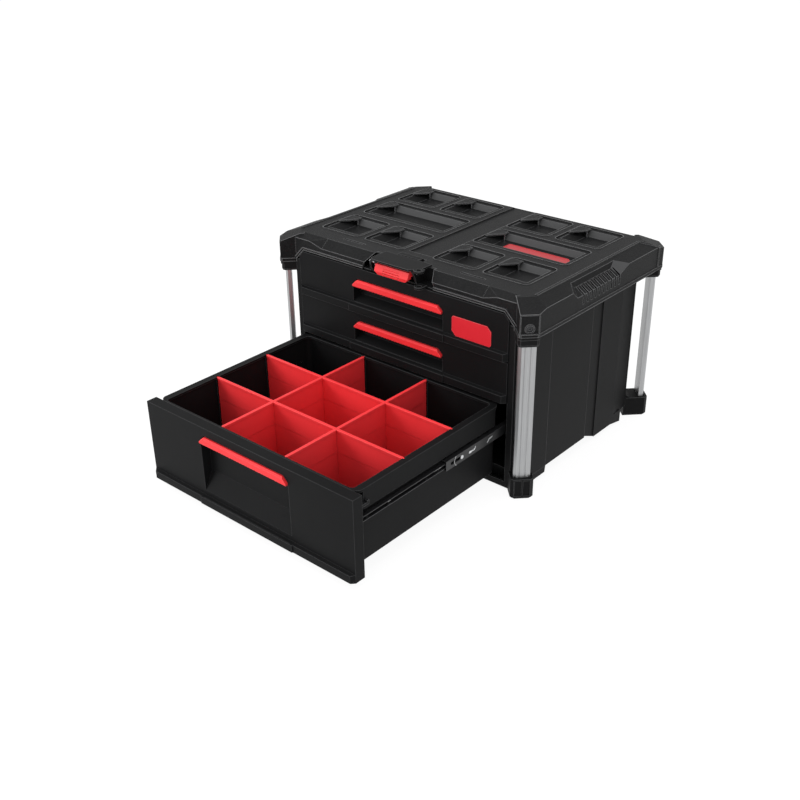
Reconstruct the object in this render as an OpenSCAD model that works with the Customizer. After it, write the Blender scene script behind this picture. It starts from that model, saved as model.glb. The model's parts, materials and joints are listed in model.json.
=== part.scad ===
// Drawer tool box: a moulded case with a socketed top, four aluminium corner posts and three
// drawers on ball-bearing slides. X is to the right, the front faces -Y, and Z is up.
// The origin is on the floor, under the middle of the whole box with its bottom drawer open.

/* [Case] */
// Width across the corner towers
case_w = 564; // [556:1:572]
// Depth across the corner towers
case_d = 419; // [413:1:425]
// Chamfer on the upright corners of the towers
tower_chamfer = 22; // [21:0.5:24]
// How far the side walls stand in from the side of the lid
side_inset = 22; // [21:0.5:23]
// How far the front frame stands back from the towers
front_inset = 19; // [18:0.5:20]
// How far the rear wall stands in from the towers
rear_inset = 24; // [23:0.5:25]
// Thickness of the moulded walls
wall = 4; // [3.5:0.1:4.5]
// Height of the case floor's underside
floor_z = 22; // [20:0.5:23]
// Height of the lid, from the walls' upper edges to its flat top
lid_h = 44; // [43:0.5:45]
// Height of the lid's flat top above the top drawer's front
lid_over = 28; // [27:0.5:29]

/* [Corner posts] */
// Width of a post across its outer face
post_w = 28; // [26:0.5:28]
// Depth of a post
post_t = 10.5; // [9:0.5:11]
// How far the post stands behind the tower's outer face
post_inset = 7.5; // [7:0.25:8.5]
// Height of the foot blocks
foot_h = 37; // [35:1:42]
// How far the upper corner blocks reach below the lid
cap_h = 17; // [14:0.5:19]
// Depth of the sockets that hold a post's ends
socket_h = 8; // [6:0.5:9]

/* [Drawers] */
// Height of the bottom front's lower edge
bottom_z = 16; // [15:0.5:18]
// Height of the bottom drawer's front
bottom_h = 141; // [138:0.5:144]
// Height of the middle drawer's front
middle_h = 70.3; // [69:0.1:72]
// Height of the top drawer's front
upper_h = 79; // [78:0.5:82]
// Gap between the bottom and the middle front
low_gap = 3.7; // [3:0.1:4]
// Gap between the middle and the top front
high_gap = 3; // [2.5:0.1:3.5]
// How far the top drawer's rim lies below its front's upper edge
rim_drop = 13; // [12:0.5:14]
// How far the fronts reach past the tubs on each side
front_over = 14.5; // [14.4:0.1:14.8]
// Room on each side of a tub, for its slide and the case's ribs
side_room = 46; // [45.6:0.1:46.6]
// Room behind the closed tubs
rear_room = 21; // [18:0.5:30]
// How far the closed fronts stand proud of the frame
front_proud = 2; // [1.5:0.25:3]
// Thickness of a drawer front, face to back
front_t = 19; // [18.5:0.25:19.5]
// Thickness of the tub walls
tub_wall = 4.5; // [4:0.25:5]
// Width of the rim on the tub's sides
rim_w = 12; // [11:0.5:12.5]

/* [Grips and locks] */
// Half length of a grip at its lower edge
grip_half = 97; // [90:1:100]
// Height of a grip
grip_h = 12.5; // [11.5:0.5:13]
// How far a grip stands proud of its front
grip_proud = 4; // [3:0.25:5]
// Radius of the grip's rod
rod_r = 2.5; // [2.2:0.1:2.7]
// Clearance round a rod or pin that turns
turn_gap = 0.08; // [0.05:0.01:0.1]

/* [Slides] */
// How much shorter a slide is than the tub
slide_short = 19; // [16:0.5:30]
// How far a drawer opens beyond the length of its slide
over_travel = 41; // [0:1:41]
// Height of a slide
slide_h = 24; // [23.5:0.25:24]
// Thickness of a slide, from the tub to the case
slide_t = 13; // [12.8:0.1:13]
// Radius of the bearing balls
ball_r = 1.1; // [1:0.05:1.15]
// Balls in one row of a cage
ball_n = 6; // [4:1:8]

/* [Latch] */
// Half width of the latch paddle
paddle_half = 36; // [32:1:37]
// Half width of the latch's pocket in the lid
latch_half = 77; // [74:1:80]
// Radius of the latch pin
latch_pin_r = 2.5; // [2.2:0.1:2.8]

/* [Hidden] */

// overrun of every cut, and the gap round pieces that are fixed but not pressed in
over = 1;
fit = 0.3;
root_two = sqrt(2);
half_share = 0.5;
quarter_share = 0.25;

// colours
case_colour = [0.17, 0.17, 0.175];
lid_colour = [0.21, 0.21, 0.215];
drawer_colour = [0.18, 0.18, 0.185];
red = [0.82, 0.13, 0.15];
alu = [0.75, 0.76, 0.77];
black_steel = [0.06, 0.06, 0.065];
zinc = [0.72, 0.73, 0.74];
steel = [0.5, 0.5, 0.52];

// planes of the body; the line through a tower's chamfer holds the sum of x and y
half_w = case_w / 2;
half_d = case_d / 2;
diag_sum = half_w + half_d - tower_chamfer;
body_x = half_w - side_inset;
body_y = half_d - front_inset;
body_back = half_d - rear_inset;
strip_in = 20;
strip_x = body_x - strip_in;
tub_half = body_x - side_room;
front_half = tub_half + front_over;
jamb_gap = 0.5;
jamb_x = front_half + jamb_gap;
jamb_t = 3;
jamb_d = 42;
rear_cut = 38;
turn_d = 6;
turn_share = 0.52;
turn_y = turn_share * body_y;

// heights of the fronts and the rims, and of the lid above them
bottom_rim_z = bottom_z + bottom_h;
middle_z = bottom_rim_z + low_gap;
middle_rim_z = middle_z + middle_h;
upper_z = middle_rim_z + high_gap;
upper_top_z = upper_z + upper_h;
upper_rim_z = upper_top_z - rim_drop;
top_z = upper_top_z + lid_over;
seat_z = top_z - lid_h;
lip_drop = 7;
lid_lip_z = seat_z - lip_drop;
cap_z = lid_lip_z - cap_h;

// a corner's frame: d runs out along the diagonal, t across it from the tower's middle
tower_diag = diag_sum / root_two;
tower_side = (half_w - half_d) / root_two;
block_half = tower_chamfer / root_two;
front_diag = (strip_x + body_y) / root_two;
rear_diag = (body_x + body_back - rear_cut) / root_two;
post_d = tower_diag - post_inset;
post_mid = post_d - post_t / 2;
post_flat = 3.5;
post_side = 4.5;
post_skin = 1.6;
flute_t = 4.7;
flute_r = 0.8;
hollow_t = 4.6;
hollow_w = 6.6;
foot_in = 1.5;
foot_d = tower_diag - foot_in;
foot_half = 19;
foot_c = 5;
toe_h = 2.6;
toe_in = 2;
foot_bore_h = 24;
cap_half = 17;
cap_c = 4;
cap_seat_t = 3;
collar_h = 5;
collar_out = 1.2;
collar_step = 1;
panel_d = 1.2;
panel_rim = 3;
web_r = 14;
spigot_in = 20;
spigot_d = tower_diag - spigot_in;
spigot_half = 9;
spigot_top = 24;
lid_screw_up = 14;
lid_screw_z = lid_lip_z + lid_screw_up;
lid_screw_in = 1.5;
lid_screw_l = 20.5;
screw_head_r = 4.5;
screw_head_h = 2.4;
screw_r = 2;
boss_r = 6.2;
face_panel_d = 1;
face_panel_rim = 2;
ring_r = 7.8;
pocket_r = 5.4;

// case: lips, sills, flange and the ribs that carry the slides
lip_z = 3;
lip_top_z = 14;
riser_in = 19.6;
riser_y = -body_y + riser_in;
column_l = 38;
column_y = -body_y + column_l;
sill_y_share = [-0.885, -0.885, -0.617, -0.606, 0.039, 0.194, 0.486, 0.669, 0.669];
sill_z_share = [1.2, 0.45, 0.45, 1.05, 1.05, 0.45, 0.45, 0.14, 1.2];
step_d = 0.8;
channel_d = 2;
channel_y_share = [0.026, 0.194];
flange_h = 5;
flange_z = lid_lip_z - flange_h;
flange_in = 5;
flange_x = half_w - flange_in;
flange_end = 20;
flange_y = body_y - flange_end;
back_flange_in = 92;
back_flange_x = half_w - back_flange_in;
back_flange_out = 0.6;
back_flange_y = body_back + back_flange_out;
rib_x = tub_half + slide_t;
rib_t = 4;
rib_y_share = [-0.72, -0.2, 0.32, 0.72];
rib_y = [for (share = rib_y_share) share * body_y];
rib_boss_r = 4.2;
rib_boss_l = 12;

// lid
lid_wall = 4;
deck_t = 4.5;
lip_out = 1;
lip_h = 6;
face_x = half_w - lip_out;
lid_front_in = 20;
lid_front = half_d - lid_front_in;
lid_back_in = 19;
lid_back = half_d - lid_back_in;
cut_y = diag_sum - face_x;
cut_x = diag_sum - lid_front;
cut_back_x = diag_sum - lid_back;
lip_y = diag_sum - half_w;
side_drop = 9;
side_top_z = top_z - side_drop;
ridge_in = 27;
ridge_x = half_w - ridge_in;
ridge_w = 5;
ridge_h = 1.1;
ridge_front = 31;
ridge_rear = 45;
frame_t = 5;
frame_h = 1;
frame_rear = 19;
front_slope = 17;
rear_slope = 18;
band_drop = 14;
band_z = top_z - band_drop;
step_drop = 6.4;
step_z = top_z - step_drop;
facet_in = 106.5;
facet_x = half_w - facet_in;
facet_w = 28;
facet_out_x = facet_x + facet_w;
facet_normal = cross([facet_w, 0, step_z - band_z], [0, front_slope, top_z - band_z]);
facet_turn = atan2(facet_normal[1], facet_normal[0]);
facet_tilt = acos(facet_normal[2] / norm(facet_normal));
corner_reach = 60;
crown_in = 38;
crown_diag = tower_diag - crown_in;
root_in = 45;
tower_root = tower_diag - root_in;
tower_drop = 13.5;
tower_top_z = top_z - tower_drop;
arch_up = 2;
arch_z = upper_top_z + arch_up;
arch_in = 10.5;
arch_x = front_half - arch_in;
arch_end_out = 8.5;
arch_end_x = front_half + arch_end_out;
arch_h = 19;
arch_low_z = arch_z - arch_h;
mould_w = 5.5;
mould_t = 1.8;
mould_rim = 1.6;
seat_l = body_y - column_l;

// sockets of the lid: left edges as shares of the half width, rear edges of the half depth
socket_x_share = [-0.741, -0.376, 0.167, 0.532];
row_rear_share = [-0.255, 0.236, 0.735];
socket_w = 60;
socket_d = 68;
wide_w = (socket_x_share[1] - socket_x_share[0]) * half_w + socket_w;
wide_d = 62;
well_h = 12;
well_z = top_z - well_h;
well_wall = 2.5;
well_slope = 6;
border_left = 20;
border_right = 9;
border_front = 13;
border_rear = 8;
border_r = 10;
border_h = 1.4;
bead_t = 1.4;
bead_up = 0.7;
ramp_l = 15;
hood_back = 3;
hood_d = 38;
hood_in = 5.5;
hood_nose = 12;
hood_drop = 1;
hood_up = 2.4;
hood_low_z = top_z - hood_drop;
hood_top_z = top_z + hood_up;
hood_pin_r = 1.6;
hood_pin_up = 1.8;
groove_half = 25;
groove_h = 2.4;
groove_front_share = -0.615;
groove_rear_share = 0.84;
slot_in = 177.2;
slot_x = half_w - slot_in;
slot_l = 48;
slot_w = 4;
slot_back = 35.6;
slot_y = lid_front - slot_back;
slot_h = 2;
// hand holds: a pocket in each side's slope, with ribs on its floor and grooves below its sill
hold_top_in = 18.7;
hold_floor_in = 15;
hold_floor_drop = 2;
hold_sill_drop = 12;
hold_front_share = -0.37;
hold_rear_share = 0.246;
hold_turn = 20.5;
hold_front_run = 4.4;
hold_rear_run = 15;
hold_groove_n = 10;
hold_groove_share = 0.057;
hold_groove_w = 4.4;
hold_groove_d = 2.6;
hold_groove_low = 27.5;
hold_top_x = face_x - hold_top_in;
hold_floor_x = face_x - hold_floor_in;
hold_floor_z = side_top_z - hold_floor_drop;
hold_sill_z = side_top_z - hold_sill_drop;
hold_low_z = side_top_z - hold_groove_low;
hold_edge_z = side_top_z + hold_top_in * side_drop / (face_x - ridge_x);
hold_front_y = hold_front_share * half_d;
hold_rear_y = hold_rear_share * half_d;
badge_cut = 34;
badge_w = wide_w - badge_cut;
badge_h = 40;
badge_t = 1.2;
badge_c = 8;
badge_margin = 22;
badge_front_gap = 2;

// drawers: one entry each for the bottom, the middle and the top drawer
low_z = [bottom_z, middle_z, upper_z];
high_z = [bottom_rim_z, middle_rim_z, upper_top_z];
rim_z = [bottom_rim_z, middle_rim_z, upper_rim_z];
grip_drop = [16, 16.5, 21];
tub_lift = [16, 4.5, 4];
grip_top_z = [for (i = [0 : 2]) high_z[i] - grip_drop[i]];
rod_drop = 4.5;
rod_z = [for (i = [0 : 2]) grip_top_z[i] - rod_drop];
slide_drop = 26;
slide_z = [for (i = [0 : 2]) rod_z[i] - slide_drop];
face_y = -body_y - front_proud;
back_y = face_y + front_t;
rod_y = face_y + front_t / 2;
tub_d = body_back - wall - rear_room - back_y;
slide_l = tub_d - slide_short;
travel = slide_l + over_travel;
drawer_out = [travel, 0, 0];
shell_t = 3;
top_chamfer = 10;
ledge_out = 6;
ledge_h = 13;
ledge_slope = 2;
ledge_end = 6;
ledge_step = 1.5;
recess_gap = 1.6;
recess_back_t = 2.2;
ramp_share = 0.42;
rod_end_out = 11;
rod_end_x = tub_half + rod_end_out;
rod_rib_in = 11;
rod_rib_x = tub_half - rod_rib_in;
rod_boss_r = 5;
front_screw_out = 78.5;
front_screw_x = front_half - front_screw_out;
front_screw_in = 12;
front_screw_drop = 14;
badge_front_w = 78;
badge_front_h = 34;
badge_front_in = 110.5;
badge_front_x = front_half - badge_front_in;
badge_front_z = upper_z + ledge_h + ledge_slope + fit;
tub_r = 12;
tub_floor_t = 3;
rim_t = 4;
rim_out = 5;
rim_x = tub_half + rim_out;
skirt_gap = 2.5;
band_gap = 1;
guide_t = 2.5;
guide_gap = 0.4;
window_w = 22;
window_share = [0.12, 0.85];
// the whole box's middle, from the open drawer's ledge to the rear towers
middle_y = (half_d + face_y - travel - ledge_out - ledge_step) / 2;

// grips
grip_end = 9;
grip_t = 9;
grip_bevel = 2.5;
notch = 1.4;
notch_n = 27;
notch_pitch = 6;
knuckle_n = 4;
knuckle_w = 12;
knuckle_in = 22;
knuckle_x = grip_half - knuckle_in;
grip_knuckle_r = 4.4;

// lock hooks and their keepers
hook_gap = 1.5;
hook_x0 = rim_x + hook_gap;
hook_t = 4;
hook_l = 28;
hook_h = 4;
nose_l = 4;
nose_h = 2.5;
keeper_gap = 0.5;
keeper_play = 1;
keeper_l = 6;
keeper_h = 5;

// slides: the strip's thickness and the gaps that the balls run in
strip_t = 1;
web_t = 1.2;
lip_l = 0.8;
ball_gap = 2 * ball_r + 2 * fit;
ball_fit = 0.1;
outer_v = slide_h / 2;
mid_v = outer_v - strip_t - ball_gap;
inner_v = mid_v - strip_t - ball_gap;
outer_u0 = 1.8;
mid_u0 = 1.6;
mid_u_in = 2.5;
mid_u1 = slide_t - mid_u_in;
inner_u1 = 8.5;
slide_front_in = 11;
slide_front_y = back_y + slide_front_in;
mid_step = 2;
mid_short = 15;
mid_y0 = slide_front_y + mid_step;
mid_y1 = mid_y0 + slide_l - mid_short;
inner_step = 5;
inner_y0 = slide_front_y - inner_step;
slide_screw_share = [0.05, 0.47, 0.96];
slide_screw_y = [for (share = slide_screw_share) inner_y0 + share * slide_l];
slide_screw_r = 1.5;
slide_screw_l = 6;
slide_head_r = 2.8;
slide_head_h = 0.8;
slot_r = 3;
slot_end = 14;
slot_step = 18;
cage_t = 0.6;
cage_w = 4.6;
cage_share = 0.37;
cage_l = cage_share * slide_l;
cage_outer_gap = 3;
cage_inner_gap = 5;
cage_outer_y = slide_front_y + quarter_share * travel + cage_outer_gap;
cage_inner_y = mid_y0 + quarter_share * travel + cage_inner_gap;
cage_u = 6.2;

// latch
pocket_back = 24;
pocket_y = -lid_front + pocket_back;
latch_back = 2;
latch_y = -body_y + latch_back;
latch_drop = 8;
latch_z = top_z - latch_drop;
latch_low_drop = 19;
latch_low_z = top_z - latch_low_drop;
latch_slant = 15;
latch_top_half = latch_half - latch_slant;
latch_bed_drop = 26.8;
latch_bed_z = top_z - latch_bed_drop;
latch_floor_t = 2;
latch_floor_z = latch_bed_z + latch_floor_t;
latch_bed_in = 1;
latch_bed_y = -lid_front + latch_bed_in;
plate_t = 3;
hood_half = 45;
hood_tip_in = 1;
hood_front = half_d - hood_tip_in;
hood_chamfer = 6;
hood_rise = 1.5;
hood_z = top_z + hood_rise;
hood_plate_t = 3.5;
cheek_in = 6;
cheek_x = hood_half - cheek_in;
cheek_run = 6;
bracket_gap = 16;
bracket_x = cheek_x + bracket_gap;
pin_over = 2;
latch_pin_left = bracket_x + plate_t + pin_over;
latch_pin_right = cheek_x + plate_t + pin_over / 2;
paddle_in = 7;
paddle_y = half_d - paddle_in;
paddle_lean = 4;
paddle_t = 6;
paddle_low = 21;
paddle_low_z = top_z - paddle_low;
paddle_top = 4;
paddle_top_z = top_z - paddle_top;
paddle_mid_z = (paddle_low_z + paddle_top_z) / 2;
knuckle_r = 5;
rib_cut_l = 18;
rib_cut_w = 1.6;
rib_cut_pitch = 4;
rib_cut_d = 0.8;
arm_half = 11;
arm_t = 6;
tongue_half = 24;
tongue_back = 27;
tongue_l = 14;
tongue_front = lid_front - tongue_back;
tongue_rear = tongue_front - tongue_l;
tongue_up = 4;
tongue_top_z = top_z + tongue_up;
tongue_flat = 2;
tongue_hole = 3;
tongue_gap = 2;
tongue_play = 3;
eye_out = 9;
eye_in = 11;
eye_x = hood_half + eye_out;
eye_y = -half_d + eye_in;
eye_r = 9;
eye_hole_r = 4.2;
lug_r = 8;
lug_h = 4;

// torsion springs
wire_r = 0.5;
coil_r = rod_r + wire_r + 2 * fit;
coil_pitch = 1.7;
coil_turns = 6;
coil_leg = 8;
coil_sides = 6;
coil_steps = 8;
spring_in = 8;
spring_x = tub_half - spring_in;

// dividers of the bottom drawer
divider_t = 2.2;
divider_bead_t = 5;
divider_bead_h = 3.5;
step_w = 3;
divider_step_drop = 40;
divider_lap = 0.4;
divider_drop = 1;
long_x_share = 0.33;
cross_y_share = [0.335, 0.68];

// plain shapes
module block(low, high) {
    translate(low) cube(high - low);
}

module both_sides() {
    for (s = [0, 1]) mirror([s, 0, 0]) children();
}

module along_x(points, x0, x1) {
    translate([x0, 0, 0]) rotate([90, 0, 90]) linear_extrude(x1 - x0) polygon(points);
}

module along_y(points, y0, y1) {
    translate([0, y1, 0]) rotate([90, 0, 0]) linear_extrude(y1 - y0) polygon(points);
}

module up_from(points, z0, z1) {
    translate([0, 0, z0]) linear_extrude(z1 - z0) polygon(points);
}

module rod_x(r, x0, x1, y, z, fn = 48) {
    translate([x0, y, z]) rotate([0, 90, 0]) cylinder(r = r, h = x1 - x0, $fn = fn);
}

module rod_y(r, x, y0, y1, z, fn = 48) {
    translate([x, y0, z]) rotate([-90, 0, 0]) cylinder(r = r, h = y1 - y0, $fn = fn);
}

// a plate with rounded corners, in plan
module round_plate(x0, y0, x1, y1, r, z0, z1) {
    translate([0, 0, z0]) linear_extrude(z1 - z0) union() {
        translate([x0 + r, y0]) square([x1 - x0 - 2 * r, y1 - y0]);
        translate([x0, y0 + r]) square([x1 - x0, y1 - y0 - 2 * r]);
        for (x = [x0 + r, x1 - r], y = [y0 + r, y1 - r]) translate([x, y]) circle(r, $fn = 40);
    }
}

// moves the box, drawn round its own middle, to the origin
module placed() {
    translate([0, -middle_y, 0]) children();
}

// draws its children in the frame of one corner
module corner(sx, sy) {
    mirror([sx > 0 ? 0 : 1, 0, 0]) mirror([0, sy < 0 ? 0 : 1, 0])
        rotate([0, 0, -45]) translate([0, tower_side, 0]) children();
}

module all_corners() {
    for (sx = [-1, 1], sy = [-1, 1]) corner(sx, sy) children();
}

// a prism across a corner's frame, from an outline in d and z
module across(points, half) {
    rotate([90, 0, 0]) translate([0, 0, -half]) linear_extrude(2 * half) polygon(points);
}

// the body's plan, drawn inwards by a thickness
function body_plan(t) = let(x = body_x - t, yf = body_y - t, yr = body_back - t,
    cf = body_x - strip_x - (2 - root_two) * t, line = body_x + body_back - rear_cut - root_two * t,
    turn_x = x - turn_d)
    [[-x + cf, -yf], [x - cf, -yf], [x, -yf + cf], [x, turn_y], [turn_x, line - turn_x],
     [line - yr, yr], [yr - line, yr], [-turn_x, line - turn_x], [-x, turn_y], [-x, -yf + cf]];

// the socket for a post's end, in the corner's frame
module post_socket(z0, z1) {
    block([post_d - post_t - fit, -post_w / 2 - fit, z0], [post_d + fit, post_w / 2 + fit, z1]);
}

// a quarter-round web in the hand gap of a rear corner
module gap_web(z, up) {
    low = up > 0 ? z : z - web_r;
    difference() {
        block([rear_diag - wall, -block_half, low], [rear_diag + web_r, block_half, low + web_r]);
        translate([rear_diag + web_r - fit, block_half + over, z + up * (web_r - fit)]) rotate([90, 0, 0])
            cylinder(r = web_r, h = 2 * block_half + 2 * over, $fn = 64);
    }
}

// a block with cut corners, across the end of a corner's frame
module collar(d0, d1, half, c, z0, z1) {
    up_from([[d0, -half], [d1 - c, -half], [d1, c - half], [d1, half - c], [d1 - c, half], [d0, half]],
        z0, z1);
}

module foot(d0) {
    difference() {
        union() {
            collar(d0, foot_d, foot_half, foot_c, toe_h, foot_h);
            collar(d0, foot_d - toe_in, foot_half - toe_in, foot_c, 0, toe_h + over);
        }
        for (s = [0, 1]) mirror([0, s, 0])
            block([foot_d - panel_d, panel_rim / 2, toe_h + panel_rim],
                [foot_d + over, foot_half - foot_c - panel_rim / 2, foot_h - panel_rim]);
        post_socket(foot_h - socket_h, foot_h + over);
        translate([post_mid, 0, -over]) cylinder(r = screw_r + fit, h = foot_h, $fn = 32);
        translate([post_mid, 0, -over]) cylinder(r = screw_head_r + fit, h = foot_bore_h + over, $fn = 32);
    }
}

module upper_block(d0) {
    difference() {
        union() {
            collar(d0, foot_d, cap_half, cap_c, cap_z + toe_h, lid_lip_z);
            collar(d0, foot_d - toe_in / 2, cap_half - toe_in / 2, cap_c, cap_z, lid_lip_z);
            collar(d0, tower_diag, cap_half, cap_c, flange_z, lid_lip_z);
            block([spigot_d - spigot_half, -spigot_half, lid_lip_z - wall],
                [spigot_d + spigot_half, spigot_half, lid_lip_z + spigot_top]);
        }
        post_socket(cap_z - over, cap_z + socket_h);
        translate([post_mid, 0, cap_z]) cylinder(r = screw_r + fit, h = spigot_top + foot_h, $fn = 32);
        translate([post_mid, 0, cap_z + socket_h + cap_seat_t])
            cylinder(r = screw_head_r + fit, h = spigot_top + foot_h, $fn = 32);
        translate([spigot_d - spigot_half - over, 0, lid_screw_z]) rotate([0, 90, 0])
            cylinder(r = screw_r + turn_gap, h = 2 * spigot_half + 2 * over, $fn = 32);
    }
}

module keeper(i) {
    y1 = rod_y + hook_l - nose_l - keeper_play;
    block([hook_x0 + keeper_play, y1 - keeper_l, rod_z[i] + nose_h + keeper_gap],
        [jamb_x + jamb_t, y1, rod_z[i] + nose_h + keeper_gap + keeper_h]);
}

module case_shell() color(case_colour) placed() difference() {
    union() {
        difference() {
            up_from(body_plan(0), floor_z, seat_z);
            up_from(body_plan(wall), floor_z + wall, seat_z + over);
            block([-jamb_x, -body_y - over, floor_z - over], [jamb_x, riser_y, seat_z + over]);
            // the frame ends below the lid's arch, and lower still behind the lid's front wall
            block([-half_w, -half_d, arch_low_z - fit], [half_w, -lid_front + lid_wall + fit, seat_z + over]);
            both_sides() block([arch_end_x - fit, -half_d, lid_lip_z - fit],
                [half_w, -lid_front + lid_wall + fit, seat_z + over]);
        }
        // the corner columns below the floor, and the lip under the bottom drawer
        difference() {
            up_from(body_plan(0), lip_z, floor_z);
            up_from(body_plan(wall), lip_z - over, floor_z + over);
            block([-jamb_x, -body_y - over, lip_z - over], [jamb_x, body_back + over, floor_z + over]);
            block([-body_x - over, column_y, lip_z - over],
                [body_x + over, body_back + over, floor_z + over]);
        }
        along_x([[-body_y, lip_z], [riser_y + wall, lip_z], [riser_y + wall, floor_z + wall],
            [riser_y, floor_z + wall], [riser_y, lip_z + wall], [-body_y + wall, lip_z + wall],
            [-body_y + wall, lip_top_z], [-body_y, lip_top_z]], -jamb_x - over, jamb_x + over);
        both_sides() {
            block([jamb_x, -body_y, lip_z], [jamb_x + jamb_t, -body_y + jamb_d, seat_z]);
            along_x([for (k = [0 : len(sill_y_share) - 1])
                [sill_y_share[k] * body_y, sill_z_share[k] * floor_z]], body_x - wall, body_x);
            block([body_x - wall, sill_y_share[1] * body_y, floor_z],
                [body_x + step_d, sill_y_share[2] * body_y, flange_z + over]);
            block([body_x - over, -flange_y, flange_z], [flange_x, flange_y, lid_lip_z]);
            for (i = [0 : 2]) keeper(i);
            intersection() {
                up_from(body_plan(over), floor_z, seat_z);
                for (k = [0 : len(rib_y) - 1]) {
                    block([rib_x, rib_y[k] - rib_t / 2, floor_z + over],
                        [body_x, rib_y[k] + rib_t / 2, seat_z]);
                    for (i = [0 : 2]) rod_x(rib_boss_r, rib_x, rib_x + rib_boss_l, rib_y[k], slide_z[i], 40);
                }
            }
        }
        block([-back_flange_x, body_back - over, flange_z], [back_flange_x, back_flange_y, lid_lip_z]);
        for (sx = [-1, 1]) {
            corner(sx, -1) foot(front_diag - wall / 2);
            corner(sx, -1) upper_block(front_diag - wall / 2);
            corner(sx, 1) foot(rear_diag - wall / 2);
            corner(sx, 1) upper_block(rear_diag - wall / 2);
            corner(sx, 1) gap_web(foot_h, 1);
            corner(sx, 1) gap_web(cap_z, -1);
        }
    }
    both_sides() {
        block([body_x - channel_d, channel_y_share[0] * body_y, -over],
            [body_x + over, channel_y_share[1] * body_y, flange_z]);
        for (i = [0 : 2], y = rib_y) rod_x(slide_screw_r + turn_gap, rib_x - over,
            rib_x + slide_screw_l, y, slide_z[i], 32);
    }
}

// corner posts: an extruded bar with three flats, two flutes, two hollows and a screw port
module post_bar() {
    edge = post_w / 2;
    translate([0, 0, foot_h - socket_h]) linear_extrude(cap_z + 2 * socket_h - foot_h) difference() {
        polygon([[post_d - post_t, -edge], [post_d - post_flat, -edge], [post_d, -edge + post_side],
            [post_d, edge - post_side], [post_d - post_flat, edge], [post_d - post_t, edge]]);
        for (s = [-1, 1]) {
            translate([post_d, s * flute_t]) circle(flute_r, $fn = 24);
            translate([post_d - post_t + post_skin, s > 0 ? hollow_t : -hollow_t - hollow_w])
                square([post_t - post_flat - post_skin, hollow_w]);
        }
        translate([post_mid, 0]) circle(screw_r + turn_gap, $fn = 32);
    }
}

module post(sx, sy) color(alu) placed() corner(sx, sy) post_bar();

module screw(head_r, head_h, shank_r, shank_l) {
    difference() {
        union() {
            cylinder(r = head_r, h = head_h, $fn = 40);
            translate([0, 0, -shank_l]) cylinder(r = shank_r, h = shank_l, $fn = 32);
        }
        translate([0, 0, head_h / 2]) cylinder(r = head_r / 2, h = head_h, $fn = 6);
    }
}

module lid_screws() color(zinc) placed() all_corners()
    translate([tower_diag - lid_screw_in - screw_head_h, 0, lid_screw_z]) rotate([0, 90, 0])
        screw(screw_head_r, screw_head_h, screw_r, lid_screw_l);

module post_screws() color(zinc) placed() all_corners() {
    translate([post_mid, 0, foot_bore_h]) rotate([180, 0, 0])
        screw(screw_head_r, screw_head_h, screw_r, foot_h - foot_bore_h);
    translate([post_mid, 0, cap_z + socket_h + cap_seat_t])
        screw(screw_head_r, screw_head_h, screw_r, socket_h + cap_seat_t);
}

// the lid's outer form, without its towers and ridges
module lid_block() {
    intersection() {
        along_y([[-face_x, lid_lip_z], [face_x, lid_lip_z], [face_x, side_top_z], [ridge_x, top_z],
            [-ridge_x, top_z], [-face_x, side_top_z]], -half_d, half_d);
        along_x([[-lid_front, lid_lip_z], [lid_back, lid_lip_z], [lid_back, side_top_z],
            [lid_back - rear_slope, top_z], [-lid_front + front_slope, top_z], [-lid_front, step_z]],
            -half_w, half_w);
        up_from([[-face_x, -cut_y], [-cut_x, -lid_front], [cut_x, -lid_front], [face_x, -cut_y],
            [face_x, cut_y], [cut_back_x, lid_back], [-cut_back_x, lid_back], [-face_x, cut_y]],
            lid_lip_z, top_z);
    }
}

module lid_form() {
    lid_block();
    all_corners() {
        across([[tower_root, lid_lip_z], [tower_diag, lid_lip_z], [tower_diag, tower_top_z],
            [crown_diag, top_z], [tower_root, top_z]], block_half);
        collar(tower_root, tower_diag + collar_out, cap_half, cap_c, lid_lip_z, lid_lip_z + collar_h);
        collar(tower_root, tower_diag + collar_out / 2, cap_half, cap_c,
            lid_lip_z, lid_lip_z + collar_h + collar_step);
    }
    // the lips, ridges and rear frames of the sides
    both_sides() {
        intersection() {
            translate([0, 0, frame_h]) lid_block();
            up_from([[half_w, lip_y - frame_rear], [half_w, lip_y - frame_rear + frame_t],
                [ridge_x - ridge_w, lid_back - ridge_rear + frame_t], [ridge_x, lid_back - ridge_rear]],
                lid_lip_z, top_z + frame_h);
        }
        block([face_x - over, lip_y - frame_rear, lid_lip_z],
            [half_w, lip_y - frame_rear + frame_t, side_top_z]);
        block([face_x - over, -lip_y, lid_lip_z], [half_w, lip_y, lid_lip_z + lip_h]);
        block([ridge_x - ridge_w, -lid_front + ridge_front, top_z - over],
            [ridge_x, lid_back - ridge_rear + frame_t, top_z + ridge_h]);
    }
    // the double moulding round the front arch
    difference() {
        along_y(arch_points(mould_w), -lid_front - mould_t, -lid_front + over);
        block([-half_w, -half_d, 0], [half_w, 0, lid_lip_z]);
        difference() {
            along_y(arch_points(mould_w - mould_rim), -half_d, -lid_front - mould_t / 4);
            along_y(arch_points(mould_rim), -half_d, 0);
        }
    }
}

function arch_points(m) = [[-arch_end_x - m, 0], [-arch_end_x - m, arch_low_z + m / 2],
    [-arch_x - m / 2, arch_z + m], [arch_x + m / 2, arch_z + m],
    [arch_end_x + m, arch_low_z + m / 2], [arch_end_x + m, 0]];

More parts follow.
